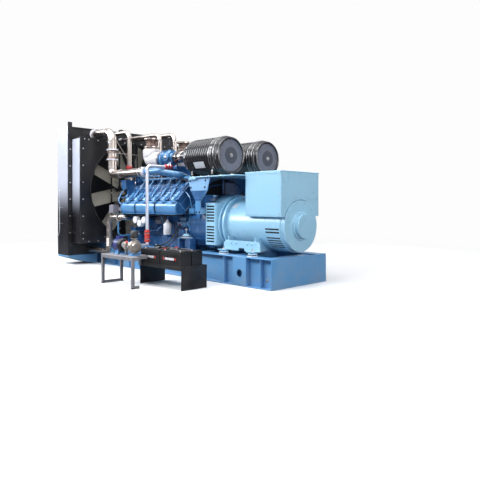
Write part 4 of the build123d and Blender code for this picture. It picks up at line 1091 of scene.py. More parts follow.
# %% Injector pipes
injector_pipes = Workpiece()
wide_route = ((0.12, 0.40, 0.15), (0.12, 0.39, 0.268), (0.115, 0.20, 0.282), (0.10, 0.10, 0.268),
              (0.10, 0.01, 0.20))
thin_route = ((0.06, 0.33, 0.262), (0.085, 0.24, 0.292), (0.09, 0.12, 0.262))
for middle in cylinders:
    for route, radius, bend, sides in ((wide_route, 0.0135, 0.06, 12), (thin_route, 0.007, 0.05, 8)):
        injector_pipes.bent([bank(middle - back, along, out) for back, along, out in route], radius, bend,
                            sides)
injector_pipes.bent([bank(-0.94, 0.33, 0.25), bank(-0.99, 0.22, 0.272), bank(-1.03, 0.05, 0.262),
                     (-1.06, -0.775, 1.33), (-1.05, -0.785, 1.24), (-1.0, -0.765, 1.19)], 0.010, 0.09, 12)
injector_pipes.bent([bank(-0.96, -0.004, 0.215), bank(0.58, -0.004, 0.215)], 0.010, sides=12)
injector_pipes.twin()
injector_pipes.show("injector_pipes", manifold_enamel)

# %% [markdown]
# Nuts hold the covers and elbows. Their places are a table too, so that a change in it shows
# on all twelve cylinders.

# %% Bank nuts
nuts = Workpiece()
nut_places = ((-0.075, 0.19, 0.238, 0.014), (0.085, 0.195, 0.238, 0.016), (-0.02, 0.19, 0.238, 0.012),
              (-0.085, 0.03, 0.238, 0.014), (0.085, 0.03, 0.238, 0.014), (0.095, 0.1, 0.238, 0.014),
              (0.0, 0.30, 0.262, 0.017), (-0.05, 0.11, 0.249, 0.012))
for middle in cylinders:
    for offset, along, out, size in nut_places:
        nuts.bolt(bank(middle + offset, along, out), out_of_bank, size)
    nuts.bolts([bank(middle + offset, along, 0.139) for offset in (-0.11, 0.11)
                for along in (0.012, 0.21, 0.398)], out_of_bank, 0.011)
    nuts.bolts([(middle + x, port_y, 1.230) for x in (0.015, 0.095)], upward, 0.009)
nuts.twin()
nuts.show("bank_nuts", manifold_enamel)

# %% [markdown]
# Above the banks a water rail runs the length of the engine, with a stub to each head, and
# cast covers hide the hot pipes in the valley. A box shaped breather stands at the front end
# of each bank.

# %% Water rails
rails = Workpiece()
rail_y, rail_z = -0.365, 1.640
rails.bar((-0.97, rail_y, rail_z), (0.60, rail_y, rail_z), 0.024, sides=20)
for middle in cylinders:
    stub_x = middle + 0.07
    rails.bent([(stub_x, rail_y, rail_z), (stub_x, -0.40, 1.56), bank(stub_x, 0.34, 0.26)], 0.019, 0.04, 12)
    rails.collar((middle, rail_y, rail_z), lengthwise, 0.024, 0.032, -0.02, 0.02, 20)
rails.bent([(-0.9, -0.39, 1.675), (-0.9, -0.39, 1.71), (-0.7, -0.36, 1.715), (-0.42, -0.30, 1.70)], 0.012,
           0.04, 10)
rails.bent([(-1.03, -0.66, 1.475), (-1.04, -0.74, 1.38), (-1.05, -0.78, 1.26)], 0.010, 0.05, 12)
rails.twin()
rails.show("water_rails", manifold_enamel)

# %% Valley covers and breathers
covers = Workpiece()
valley_y, valley_top = -0.345, 1.655
for middle in cylinders:
    covers.block((middle - 0.118, valley_y, 1.50), (middle + 0.118, -0.16, valley_top))
    covers.block((middle - 0.09, valley_y - 0.005, 1.53), (middle + 0.09, valley_y + 0.005, 1.615))
    for x in (middle - 0.10, middle + 0.10):
        covers.bolt((x, valley_y, 1.595), nearside, 0.012)
        covers.bolt((x, -0.25, valley_top), upward, 0.012)
covers.block((-1.0, -0.44, 1.53), (-0.86, -0.33, 1.675))
covers.bolt((-0.93, -0.44, 1.60), nearside, 0.02)
breather_low, breather_high = Vector((-1.09, -0.695, 1.47)), Vector((-0.93, -0.50, 1.62))
lip = 0.010
covers.block(breather_low, breather_high)
covers.block((breather_low.x - lip, breather_low.y - lip, breather_high.z - lip),
             (breather_high.x + lip, breather_high.y + lip, breather_high.z + 0.012))
covers.block((-1.00, -0.64, 1.35), (-0.935, -0.505, 1.48))
covers.turned((-1.01, -0.60, breather_high.z + 0.012), upward,
              [(0.045, 0), (0.045, 0.018), (0.032, 0.026)], 24)
covers.bolts([(x, breather_low.y, z) for x in (-1.07, -0.95) for z in (1.50, 1.59)], nearside, 0.011)
covers.twin()
covers.show("valley_covers", engine_enamel, bevel=0.004)

# %% [markdown]
# The air manifold on each side is three castings joined by short dark sleeves. Its section is
# between a circle and a square, which a power of the sine and the cosine gives. A thin lip
# runs along its foot, and its end is closed by a bolted plate in the engine's darker blue.

# %% Air manifold
manifold_y, manifold_z = -0.66, 1.126
castings_of_manifold = ((-1.02, -0.575), (-0.535, 0.03), (0.07, 0.63))
sleeve_lap = 0.002


def casting_outline(grow):
    """The rounded section of the manifold castings; grow makes it wider."""
    outline = []
    for degrees in range(-80, 85, 8):
        across, up = math.cos(math.radians(degrees)), math.sin(math.radians(degrees))
        outline.append((manifold_y - (0.097 + grow) * across ** 0.77,
                        manifold_z + (0.1 + grow) * math.copysign(abs(up) ** 0.77, up)))
    return outline


skins = Workpiece()
trims = Workpiece()
for start, end in castings_of_manifold:
    prism(skins, casting_outline(0), start, end)
    trims.block((start + 0.005, -0.755, 1.018), (end - 0.005, -0.60, 1.031))
    for x in (start + 0.012, end - 0.022):
        prism(trims, casting_outline(0.003), x, x + 0.010)
    bolt_step = (end - start - 0.12) / 3
    trims.bolts([(start + 0.06 + bolt_step * number, -0.756, 1.135) for number in range(4)], nearside, 0.008,
                washer=False)
skins.twin()
skins.show("manifold_castings", manifold_enamel)

# %% [markdown]
# An end plate is an outline of eight points drawn out along the crankshaft. The same outline,
# moved in a little, makes the sleeves.

# %% Manifold sleeves and end plates
end_outline = [(-0.746, 1.09), (-0.73, 1.052), (-0.69, 1.034), (-0.565, 1.034), (-0.553, 1.07),
               (-0.70, 1.205), (-0.728, 1.19), (-0.745, 1.155)]
sleeves = Workpiece()
for (_, start), (end, _) in zip(castings_of_manifold, castings_of_manifold[1:]):
    prism(sleeves, [(y + 0.012, z - 0.008) for y, z in end_outline], start - sleeve_lap, end + sleeve_lap)
sleeves.twin()
sleeves.show("manifold_sleeves", rubber, bevel=0.004)
trims.twin()
trims.show("manifold_trims", manifold_enamel, bevel=0.0015)
ends = Workpiece()
prism(ends, end_outline, 0.6305, 0.645)
prism(ends, end_outline, -1.035, -1.0205)
end_bolts = ((-0.725, 1.08), (-0.725, 1.16), (-0.62, 1.055), (-0.65, 1.13))
ends.bolts([(0.644, *place) for place in end_bolts], lengthwise, 0.010)
ends.bolts([(-1.034, *place) for place in end_bolts], to_front, 0.010)
ends.twin()
ends.show("manifold_end_plates", engine_enamel, bevel=0.003)

# %% [markdown]
# Below the banks the crankcase is a plain casting. Bolted covers, a flange where the sump
# hangs, and strengthening ribs on the flywheel housing break up its sides.

# %% Housing flanges with painted highlight
shaft = (0.0, 0.870)
# The flanges are real; their paler blue is painted highlight, where light catches the housing's flange.
flanges = Workpiece()
flanges.collar((0.625, *shaft), lengthwise, 0.40, 0.476, 0, 0.018, 72)
flanges.collar((1.055, *shaft), lengthwise, 0.40, 0.478, 0, 0.022, 72)
flanges.show("housing_flanges_painted_highlight", manifold_enamel, bevel=0.0025)

# %% Crankcase and sump covers
castings = Workpiece()
cover_y = -0.340
for middle in cylinders:
    castings.block((middle - 0.105, cover_y, 0.665), (middle + 0.105, cover_y + 0.011, 0.860))
    castings.bolts([(middle + offset, cover_y, z) for offset in (-0.09, 0, 0.09) for z in (0.68, 0.845)],
                   nearside, 0.010)
    castings.block((middle - 0.13, -0.530, 1.03), (middle - 0.115, -0.345, 1.045))
castings.block((-0.96, -0.345, 0.625), (0.60, -0.305, 0.648))
castings.bolts([(-0.9 + 0.11 * number, -0.335, 0.625) for number in range(14)], downward, 0.010)
castings.block((-0.90, -0.318, 0.47), (0.52, -0.309, 0.60))
gear_cover_x = -1.100
gear_cover = [(-0.30, 0.90), (-0.36, 1.05), (-0.19, 1.39), (-0.05, 1.39), (-0.05, 0.90)]
gear_bolts = ((-0.31, 0.95), (-0.33, 1.05), (-0.28, 1.17), (-0.22, 1.30), (-0.1, 1.37), (-0.1, 0.93))
prism(castings, gear_cover, gear_cover_x, gear_cover_x + 0.011)
castings.bolts([(gear_cover_x, *place) for place in gear_bolts], to_front, 0.010)
castings.twin()
housing_radius, sump_level = 0.468, 0.47
for angle in range(-64, 193, 16):
    place, out = round_place(shaft, housing_radius + 0.002, angle, 0.0)
    if place.z > sump_level:
        curved_plate(castings, shaft, housing_radius, 0.010, 0.645, 1.055, angle - 0.8, angle + 0.8)
        castings.bolt(place + Vector((1.050, 0, 0)), to_front, 0.013)
        castings.bolt(place + Vector((0.640, 0, 0)) - out * 0.004, lengthwise, 0.012)
curved_plate(castings, shaft, housing_radius, 0.022, 0.72, 0.92, 8, 34)
castings.show("crankcase_covers", engine_enamel, bevel=0.0025)

# %% Housing brackets
brackets = Workpiece()
brackets.block((0.66, -0.50, 1.02), (0.80, -0.475, 1.12))
brackets.block((0.66, -0.50, 1.02), (0.80, -0.42, 1.035))
brackets.bent([(0.73, -0.49, 1.12), (0.73, -0.53, 1.30), (0.55, -0.50, 1.42)], 0.010, 0.05, 10)
brackets.bolts([(0.70, -0.501, 1.07), (0.77, -0.501, 1.07)], nearside, 0.012)
brackets.twin()
brackets.show("housing_brackets", manifold_enamel, bevel=0.002)

# %% [markdown]
# On the service side the engine carries its filters: three cans with white ends lie in a blue
# head, a ribbed oil cooler sits beside them, and a white canister with a cone on top stands
# on its own bracket.

# %% Oil and fuel filters
can_places = ((-0.625, 0.905), (-0.49, 0.845), (-0.355, 0.905))
canister_x, canister_y = 0.13, -0.54
head = Workpiece()
head.block((-0.72, -0.48, 0.782), (-0.26, -0.331, 0.873))
cans = Workpiece()
for x, z in can_places:
    head.turned((x, -0.43, z), nearside, [(0.070, 0), (0.070, 0.06), (0.058, 0.066)], 32)
    head.turned((x, -0.49, z), nearside, [(0.060, 0), (0.062, 0.02), (0.062, 0.15), (0.05, 0.158)], 32)
    head.bolt((x + 0.06, -0.481, 0.80), nearside, 0.010)
    cans.turned((x, -0.63, z), nearside, [(0.060, 0), (0.064, 0.004), (0.064, 0.068), (0.058, 0.082),
                                          (0.03, 0.089), (0.0, 0.090)], 36)
head.block((-0.235, -0.42, 0.80), (-0.07, -0.331, 0.874))
head.block((0.06, -0.610, 0.622), (0.205, -0.331, 0.640))
head.block((0.085, -0.60, 0.640), (0.175, -0.48, 0.664))
head.show("filter_head", engine_enamel, bevel=0.004, replaces=["oil_and_fuel_filters"])
cans.turned((canister_x, canister_y, 0.664), upward, [
    (0.066, 0), (0.070, 0.006), (0.070, 0.178), (0.064, 0.188), (0.024, 0.23), (0.022, 0.258)], 36)
cans.show("filter_cans", white_enamel)

# %% [markdown]
# The cooler's fins are eleven thin rings on a cylinder. A bump in the finish would do from
# the front, but would leave the outline smooth.

# %% Oil cooler
cooler_y, cooler_z = -0.47, 0.905
cooler = Workpiece()
cooler.bar((-0.232, cooler_y, cooler_z), (-0.072, cooler_y, cooler_z), 0.066, sides=32)
for number in range(11):
    cooler.collar((-0.228 + 0.0145 * number, cooler_y, cooler_z), lengthwise, 0.06, 0.076, 0, 0.007, 32,
                  chamfer=0.001)
cooler.show("ribbed_oil_cooler", grey_enamel)

# %% [markdown]
# The starter is a long round motor with its switch on top. A rounded end cap, a clamping ring
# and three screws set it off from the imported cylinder.

# %% Starter motor
starter_y, starter_z = -0.42, 0.86
starter = Workpiece()
starter.turned((0.335, starter_y, starter_z), lengthwise,
               [(0.0, -0.004), (0.05, -0.004), (0.060, 0.008), (0.063, 0.012), (0.063, 0.05)], 32)
starter.collar((0.56, starter_y, starter_z), lengthwise, 0.062, 0.070, 0, 0.034, 32, chamfer=0.004)
starter.bolts([(0.332, starter_y + 0.045 * math.sin(turn), starter_z + 0.045 * math.cos(turn))
               for turn in around(3, 30)], to_front, 0.008)
starter.turned((0.376, -0.45, 0.95), lengthwise, [(0.0, 0), (0.03, 0), (0.037, 0.006), (0.037, 0.05)], 28)
starter.show("starter_ends", engine_enamel, bevel=0.0015)
cap = Workpiece()
cap.block((0.372, -0.485, 0.835), (0.402, -0.455, 0.862))
cap.show("starter_red_cap", red_silicone, bevel=0.005)
terminals = Workpiece()
for y, z in ((-0.44, 0.965), (-0.465, 0.94)):
    terminals.bar((0.378, y, z), (0.362, y, z), 0.006)
terminals.bolt((0.452, -0.482, 0.836), nearside, 0.009)
terminals.show("starter_terminals", zinc)

# %% [markdown]
# Small pipes and rigid conduits run along the service side: the dipstick, the fuel pipes
# between filter and bank, and the harness in its dark sleeves. Each is a thickness, a bend
# radius, a number of sides and the corners that it passes.

# %% Service side pipes and harness
pipe_runs = (
    (0.016, 0.05, 12, [(-1.03, -0.80, 1.02), (-1.03, -0.80, 0.64), (-1.03, -0.72, 0.60),
                       (-1.03, -0.36, 0.62)]),
    (0.008, 0.06, 8, [(0.0, -0.345, 0.66), (0.0, -0.46, 0.72), (0.02, -0.60, 0.98), (0.02, -0.66, 1.02)]),
    (0.009, 0.04, 8, [(0.13, -0.54, 0.915), (0.13, -0.54, 0.97), (0.20, -0.60, 1.01), (0.24, -0.68, 1.02)]),
    (0.012, 0.04, 10, [(-0.69, -0.49, 0.86), (-0.74, -0.56, 0.90), (-0.80, -0.56, 1.00),
                       (-0.80, -0.66, 1.03)]),
    (0.014, 0.05, 10, [(-0.60, -0.345, 0.70), (-0.60, -0.42, 0.70), (-0.30, -0.44, 0.72),
                       (-0.20, -0.43, 0.80)]))
conduit_runs = (
    (0.013, 0.08, 10, [(-1.03, -0.74, 1.04), (-1.0, -0.70, 1.00), (-0.6, -0.66, 0.99), (0.1, -0.66, 1.0),
                       (0.5, -0.6, 1.01), (0.62, -0.5, 1.05), (0.72, -0.47, 1.16)]),
    (0.010, 0.05, 10, [(0.50, -0.43, 0.99), (0.42, -0.52, 1.0), (0.32, -0.60, 0.99), (0.1, -0.64, 0.99)]),
    (0.008, 0.04, 8, [(-0.35, -0.64, 0.985), (-0.30, -0.56, 0.95), (-0.27, -0.50, 0.88)]),
    (0.011, 0.06, 10, [(-0.20, -0.32, 1.70), (0.1, -0.33, 1.72), (0.35, -0.42, 1.62), (0.55, -0.36, 1.58)]),
    (0.011, 0.05, 10, [(-0.7, -0.15, 1.68), (-0.5, -0.24, 1.70), (-0.25, -0.30, 1.74)]))
for name, material, runs in (("service_pipes", manifold_enamel, pipe_runs),
                             ("harness_conduits", rubber, conduit_runs)):
    tubes = Workpiece()
    for radius, bend, sides, corners in runs:
        tubes.bent(corners, radius, bend, sides)
    tubes.show(name, material)

# %% [markdown]
# The grey control box at the engine's front end has a raised lid with a screw in each corner.
# The gap round a lid is what makes a box look like one that opens.

# %% Control box lid
box_low, box_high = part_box("control_box")
lids = Workpiece()
lids.block((box_low.x + 0.008, box_low.y - 0.006, box_low.z + 0.008),
           (-1.178, box_low.y + 0.004, box_high.z - 0.008))
lids.block((box_low.x + 0.02, box_low.y + 0.02, box_high.z - 0.002), (-1.19, -0.72, box_high.z + 0.008))
lids.bolts([(x, box_low.y - 0.006, z) for x in (box_low.x + 0.02, -1.19)
            for z in (box_low.z + 0.02, box_high.z - 0.02)], nearside, 0.006, washer=False)
lids.show("control_box_lid", grey_enamel, bevel=0.002)

# %% [markdown]
# The alternator is rolled sheet and cast rings in one pale blue. What breaks it up is small:
# slatted vents with dark air behind them, rings of bolt heads, the folded lid of the terminal
# box and the slotted band near its end.

# %% Alternator vents
vents = Workpiece()
vents.block((1.092, -0.4815, 0.58), (1.30, -0.4785, 1.176))
vents.twin()
band_start, band_length = 2.238, 0.298
vents.collar((band_start, *shaft), lengthwise, 0.33, 0.3815, 0, band_length, 120)
vents.collar((1.0785, *shaft), lengthwise, 0.46, 0.4795, 0, 0.006, 96)
vents.show("vent_darkness", dark_inside)
hoods = Workpiece()
slat_pitch = 0.046
for first in (0.602, 0.925):
    for level in [first + slat_pitch * row for row in range(6)]:
        hoods.block((1.10, -0.507, level + 0.012), (1.292, -0.499, level + 0.017))
for x in (1.096, 1.305):
    hoods.block((x, -0.503, 0.556), (x + 0.004, -0.499, 1.20))
hoods.bolts([(x, -0.500, z) for z in (0.565, 0.88, 1.197) for x in (1.10, 1.308)], nearside, 0.008)
hoods.twin()
for place in (band_start - 0.0015, band_start + band_length + 0.002):
    hoods.collar((place, *shaft), lengthwise, 0.380, 0.3875, -0.005, 0.005, 96)
hoods.collar((1.60, *shaft), lengthwise, 0.380, 0.3865, -0.004, 0.004, 96, chamfer=0.001)
hoods.show("vent_hoods", sky_enamel, bevel=0.001)

# %% Alternator bolts
bolts = Workpiece()
for number in range(16):
    for x, reach, size in ((1.365, 0.435, 0.014), (1.45, 0.425, 0.013)):
        place, out = round_place(shaft, reach, 22.5 * number + 11, x)
        if place.z > sump_level:
            bolts.bolt(place, lengthwise, size)
bolt_ring(bolts, shaft, 0.352, 2.620, 12, 15, 0.011)
bolt_ring(bolts, shaft, 0.190, 2.645, 8, 22, 0.008)
bolt_ring(bolts, shaft, 0.14, 2.700, 4, 45, 0.007, washer=False)
for angle in (-20, 16, 60, 120, 164, 200):
    for x in (band_start + 0.014, band_start + band_length - 0.012):
        bolts.bolt(*round_place(shaft, 0.385, angle, x), 0.008)
bolts.show("alternator_bolts", sky_enamel)

# %% [markdown]
# The terminal box is closed by folded lids: thin panels a few millimetres proud of the packed
# box, with screws along their edges.

# %% Terminal box lid and screws
box_side, box_end, box_front = -0.4405, 2.6115, 1.9115
lid = Workpiece()
lid.block((1.930, box_side, 1.03), (2.593, -0.437, 1.63))
lid.block((1.922, -0.446, 1.628), (2.601, -0.437, 1.652))
lid.twin()
lid.block((box_end - 0.0035, -0.42, 1.26), (box_end, 0.42, 1.63))
lid.block((box_front, -0.42, 1.26), (box_front + 0.0035, 0.42, 1.63))
lid.block((1.93, -0.42, 1.6645), (2.59, 0.42, 1.668))
lid.show("terminal_box_panels", sky_enamel, bevel=0.0015)
screws = Workpiece()
screws.bolts([(x, box_side, z) for x in (1.95, 2.15, 2.37, 2.573) for z in (1.048, 1.612)], nearside, 0.007)
screws.bolts([(x, box_side, 1.33) for x in (1.948, 2.575)], nearside, 0.007)
screws.bolts([(x, -0.448, 1.656) for x in (1.97, 2.18, 2.36, 2.56)], nearside, 0.006, washer=False)
screws.twin()
for x, way in ((box_end, lengthwise), (box_front, to_front)):
    screws.bolts([(x, y, z) for y in (-0.39, -0.13, 0.13, 0.39) for z in (1.605, 1.29)], way, 0.007)
screws.show("terminal_box_screws", zinc)
plate = Workpiece()
curved_plate(plate, shaft, 0.3865, 0.002, 1.475, 1.565, 42, 57)
plate.show("alternator_blank_plates", pale_plate)

# %% [markdown]
# Engine and alternator stand on rubber mounts. Each is a pale base plate, a black rubber
# cushion, a pressed cup and a stud with its nut, which is how the levelling is set. All of
# them are round, so each is turned from a few points, as on a lathe.

# %% Rubber mounts
alternator_mounts = [(x, -0.50, 0.430, 0.490, 0.055, 0.014) for x in (1.51, 2.12)]
engine_mounts = [(x, -0.52, 0.630, 0.700, 0.090, 0.060) for x in (-0.90, 0.62)]
plates, cushions, cups, studs = [Workpiece() for _ in range(4)]
for x, y, low, high, stud_length, nut_height in alternator_mounts + engine_mounts:
    plates.turned((x, y, low), upward, [(0.076, 0), (0.080, 0.003), (0.080, 0.013), (0.06, 0.015)], 40)
    cushions.turned((x, y, low + 0.012), upward,
                    [(0.062, 0), (0.068, 0.005), (0.064, 0.013), (0.052, 0.018)], 40)
    cups.turned((x, y, low + 0.027), upward,
                [(0.068, 0), (0.071, 0.004), (0.069, 0.016), (0.048, 0.022), (0.044, high - low - 0.028)], 40)
    studs.bar((x, y, high), (x, y, high + stud_length), 0.010, sides=12)
    studs.bolt((x, y, high + nut_height), upward, 0.021)
    studs.bolts([(x + offset, y - 0.035, low + 0.006) for offset in (-0.055, 0.055)], upward, 0.008,
                washer=False)
for piece, name, material, replaced in (
        (plates, "mount_base_plates", white_enamel, ()), (cushions, "mount_cushions", rubber, ["isolators"]),
        (cups, "mount_cups", sky_enamel, ()), (studs, "mount_studs", zinc, ())):
    piece.twin()
    piece.show(name, material, replaces=replaced)

# %% Foot bolts
feet = Workpiece()
feet.bolts([(x, -0.450, 0.60) for x in (1.62, 1.72, 1.96, 2.06)], nearside, 0.016)
for x in (1.47, 1.91):
    feet.block((x, -0.453, 0.492), (x + 0.30, -0.449, 0.510))
feet.bolts([(x, -0.52, 0.631) for x in (-1.04, -0.76, 0.48, 0.76)], upward, 0.014)
feet.twin()
feet.show("foot_bolts", sky_enamel)

# %% [markdown]
# The base frame is welded plate. A weld bead runs where plates meet, a ring strengthens each
# lifting hole, and an earth screw stands at each end.

# %% Base frame trims
rail_face, frame_end, frame_top = -0.551, 2.58, 0.412
welds = Workpiece()
for place in (-1.07, 1.98):
    for x in (place - 0.133, place + 0.133):
        welds.bar((x, -0.632, 0.02), (x, -0.632, 0.41), 0.005, sides=8)
    welds.collar((place, -0.633, 0.188), nearside, 0.055, 0.078, 0, 0.0019)
for place in (-2.3, -1.48, -0.62, 0.88, 1.64, 2.38):
    welds.block((place - 0.006, -0.62, 0.016), (place + 0.006, -0.548, 0.414))
for level in (0.018, frame_top):
    welds.bar((-frame_end, rail_face, level), (frame_end, rail_face, level), 0.005, sides=6)
welds.twin()
welds.show("frame_welds", frame_enamel, smooth_degrees=60)
earth = Workpiece()
earth.bolts([(x, rail_face, 0.12) for x in (-2.45, 2.45)], nearside, 0.016)
earth.twin()
earth.show("earth_screws", zinc)

# %% [markdown]
# The coolant heater stands on its own little table of square tube: a finned blue motor with
# a black cowl, a cast silver pump beside it, and a second pump whose motor points up.

# %% Heater motor and cowls
heater_y, motor_z, pump_z = -1.71, 0.584, 0.571
table_top, foot_top = 0.4445, 0.462
fin_count, half_fin = 36, 1.2
motor = Workpiece()
motor.turned((0.435, heater_y, motor_z), lengthwise,
             [(0.080, 0), (0.088, 0.004), (0.088, 0.138), (0.080, 0.145)], 48)
for angle in range(0, 360, 360 // fin_count):
    curved_plate(motor, (heater_y, motor_z), 0.086, 0.010, 0.445, 0.568, angle - half_fin, angle + half_fin)
motor.block((0.46, heater_y - 0.04, motor_z + 0.07), (0.54, heater_y + 0.04, motor_z + 0.125))
motor.show("heater_motor", motor_enamel, bevel=0.001, replaces=["heater_pump_set"])
cowls = Workpiece()
for place, axis, profile, sides in (
        ((0.421, heater_y, motor_z), lengthwise, [(0.0, 0), (0.07, 0), (0.092, 0.008), (0.096, 0.02)], 48),
        ((0.575, heater_y, motor_z), lengthwise,
         [(0.092, -0.006), (0.095, 0), (0.095, 0.02), (0.080, 0.048), (0.0, 0.050)], 48),
        ((0.895, heater_y, 0.695), upward,
         [(0.045, 0), (0.054, 0.01), (0.054, 0.085), (0.04, 0.103), (0.0, 0.106)], 36)):
    cowls.turned(place, axis, profile, sides)
cowls.show("heater_cowls", rubber)

# %% Heater feet
feet = Workpiece()
for start, end, half_width, low, high in (
        (0.45, 0.57, 0.075, table_top, foot_top), (0.47, 0.55, 0.055, foot_top, 0.51),
        (0.60, 0.70, 0.05, table_top, 0.458), (0.845, 0.945, 0.068, table_top, foot_top),
        (0.865, 0.925, 0.04, foot_top, 0.50)):
    feet.block((start, heater_y - half_width, low), (end, heater_y + half_width, high))
feet.bolts([(x, heater_y + offset, foot_top) for x in (0.462, 0.558, 0.855, 0.935)
            for offset in (-0.055, 0.055)], upward, 0.008)
feet.show("heater_feet", manifold_enamel, bevel=0.0015)

# %% [markdown]
# The pump's casting is a snail like the turbochargers', so the same function draws it. The
# second pump's motor is a ribbed can on a slanted axis.

# %% Circulation pumps
pump = Workpiece()
pump_axis = (heater_y, pump_z)
snail(pump, (0.885, *pump_axis), 0.096, 0.026, 0.042, 90, 300, 0.03)
pump.turned((0.83, *pump_axis), lengthwise, [
    (0.03, -0.012), (0.052, -0.012), (0.052, 0.004), (0.064, 0.012), (0.080, 0.03), (0.080, 0.085),
    (0.100, 0.09), (0.100, 0.104), (0.068, 0.108), (0.056, 0.127), (0.0, 0.129)], 44)
pump.turned((0.895, heater_y, pump_z + 0.07), upward,
            [(0.034, 0), (0.034, 0.042), (0.052, 0.046), (0.052, 0.056)], 32)
bolt_ring(pump, pump_axis, 0.090, 0.934, 8, 20, 0.009)
slanted = Vector((0.45, -0.25, 0.85)).normalized()
start = Vector((0.655, heater_y + 0.02, 0.50))
pump.turned(start, slanted, [(0.026, -0.04), (0.030, 0.03), (0.040, 0.038), (0.040, 0.13), (0.032, 0.142),
                             (0.0, 0.144)], 32)
for number in range(8):
    pump.hoop(start + slanted * (0.048 + 0.011 * number), slanted, 0.0405, 0.003, 32)
pump.show("heater_pump", dull_stainless, bevel=0.001)

# %% Heater caps, disc and valve
valve_x, valve_y = 0.40, heater_y + 0.16
caps = Workpiece()
caps.turned(start + slanted * 0.143, slanted, [(0.020, 0), (0.020, 0.018), (0.014, 0.022)], 20)
caps.turned((valve_x, valve_y - 0.03, 0.60), nearside, [(0.016, 0), (0.016, 0.026), (0.010, 0.03)], 20)
caps.show("heater_red_caps", red_silicone)
disc = Workpiece()
disc.turned((0.625, heater_y, motor_z), lengthwise,
            [(0.046, -0.002), (0.046, 0.006), (0.02, 0.010), (0.0, 0.010)], 28)
disc.show("cowl_white_disc", white_enamel)
valve = Workpiece()
valve.bar((valve_x, valve_y, table_top), (valve_x, valve_y, 0.62), 0.016, sides=16)
valve.bar((valve_x - 0.04, valve_y, 0.56), (valve_x + 0.04, valve_y, 0.56), 0.022, sides=16)
valve.bolt((valve_x, valve_y - 0.025, 0.60), nearside, 0.020)
valve.show("heater_valve", stainless)
stand_feet = Workpiece()
leg_width, lap = 0.040, 0.002
for x, y in ((0.29, -1.90), (0.29, -1.58), (1.10, -1.90)):
    stand_feet.block((x - lap, y - lap, 0.0), (x + leg_width + lap, y + leg_width + lap, 0.014))
stand_feet.show("stand_end_caps", rubber, bevel=0.002)

# %% [markdown]
# Four starter batteries stand in two rows. Each has a lid with a rim, a strip of cell plugs,
# a carrying handle at each end and short rigid links from post to post. The pale and red
# patches on their fronts are left without print.

# %% Battery cases
battery_x, battery_y = (0.757, 1.237), (-1.498, -1.293)
battery_length, battery_width = 0.465, 0.190
post_along, post_across = (0.055, 0.410), 0.045
corners_of_batteries = [(x, y) for x in battery_x for y in battery_y]
rims, handles, plugs, posts = [Workpiece() for _ in range(4)]
for x, y in corners_of_batteries:
    rims.block((x - 0.003, y - 0.003, 0.475), (x + battery_length + 0.003, y + battery_width + 0.003, 0.503))
    rims.block((x + 0.012, y + 0.012, 0.520), (x + battery_length - 0.012, y + battery_width - 0.012, 0.529))
    rims.block((x + 0.10, y + 0.075, 0.526), (x + 0.365, y + 0.115, 0.540))
    for rib in [x + 0.02 + 0.037 * number for number in range(12)]:
        rims.block((rib, y - 0.002, 0.34), (rib + 0.006, y + 0.001, 0.47))
    for number in range(6):
        plugs.turned((x + 0.12 + 0.045 * number, y + 0.095, 0.540), upward,
                     [(0.014, 0), (0.014, 0.005), (0.008, 0.007)], 20)
    for end, way in ((x - 0.003, -0.010), (x + battery_length + 0.003, 0.010)):
        handles.bent([(end, y + 0.04, 0.49), (end + way, y + 0.04, 0.535), (end + way, y + 0.15, 0.535),
                      (end, y + 0.15, 0.49)], 0.005, 0.02, 8)
    for offset in post_along:
        posts.turned((x + offset, y + post_across, 0.5255), upward,
                     [(0.013, 0), (0.013, 0.008), (0.010, 0.018)], 20)
rims.show("battery_rims", battery_plastic, bevel=0.002)
handles.show("battery_handles", rubber)
plugs.show("battery_plugs", grey_enamel)
posts.show("battery_posts", zinc)

# %% [markdown]
# Flat bars link the posts, with red covers at their ends.

# %% Battery links, covers and patches
link_low, link_high = 0.5425, 0.5475
links = Workpiece()
for low, high in (((1.165, -1.461), (1.294, -1.445)), ((0.810, -1.256), (0.814, -1.252)),
                  ((1.155, -1.256), (1.305, -1.240)), ((1.639, -1.461), (1.655, -1.240))):
    links.block((*low, link_low), (*high, link_high))
links.bolts([(0.812, -1.266, 0.571), (1.167, -1.471, 0.571)], upward, 0.010)
links.show("battery_links", zinc, bevel=0.001)
front_face = -1.4975
covers = Workpiece()
covers.block((1.280, -1.476, link_high), (1.310, -1.432, 0.562))
covers.block((1.280, -1.270, link_high), (1.315, -1.228, 0.562))
covers.block((0.800, -1.245, 0.544), (0.825, -1.230, 0.566))
patches = Workpiece()
for x in battery_x:
    for start in (x + 0.07, x + 0.34):
        covers.block((start, front_face - 0.003, 0.40), (start + 0.028, front_face, 0.44))
    patches.block((x + 0.115, front_face - 0.0025, 0.405), (x + 0.325, front_face, 0.437))
covers.show("battery_red_covers", red_silicone, bevel=0.002)
patches.show("battery_blank_patches", white_enamel)

# %% [markdown]
# The batteries' bench is folded from sheet. Its turned edges show as thin raised bands along
# the shelf and at the legs.

# %% Battery bench folds
bench_start, bench_end, bench_near, bench_far, shelf = 0.743, 1.742, -1.512, -1.048, (0.272, 0.328)
bench = Workpiece()
for y in (bench_near, bench_far - 0.0035):
    bench.block((bench_start, y, shelf[0]), (bench_end, y + 0.0035, shelf[1]))
for x in (bench_start + 0.001, bench_end - 0.007):
    for y in (bench_near + 0.002, bench_far - 0.042):
        bench.block((x, y, 0.0), (x + 0.006, y + 0.04, 0.275))
bench.show("bench_folds", powder_coat, bevel=0.0015)

# %% [markdown]
# The two battery cables sag from the posts to the starter. They are drawn as smooth curves
# through the same corners as the solid cables, so that they keep their real length.

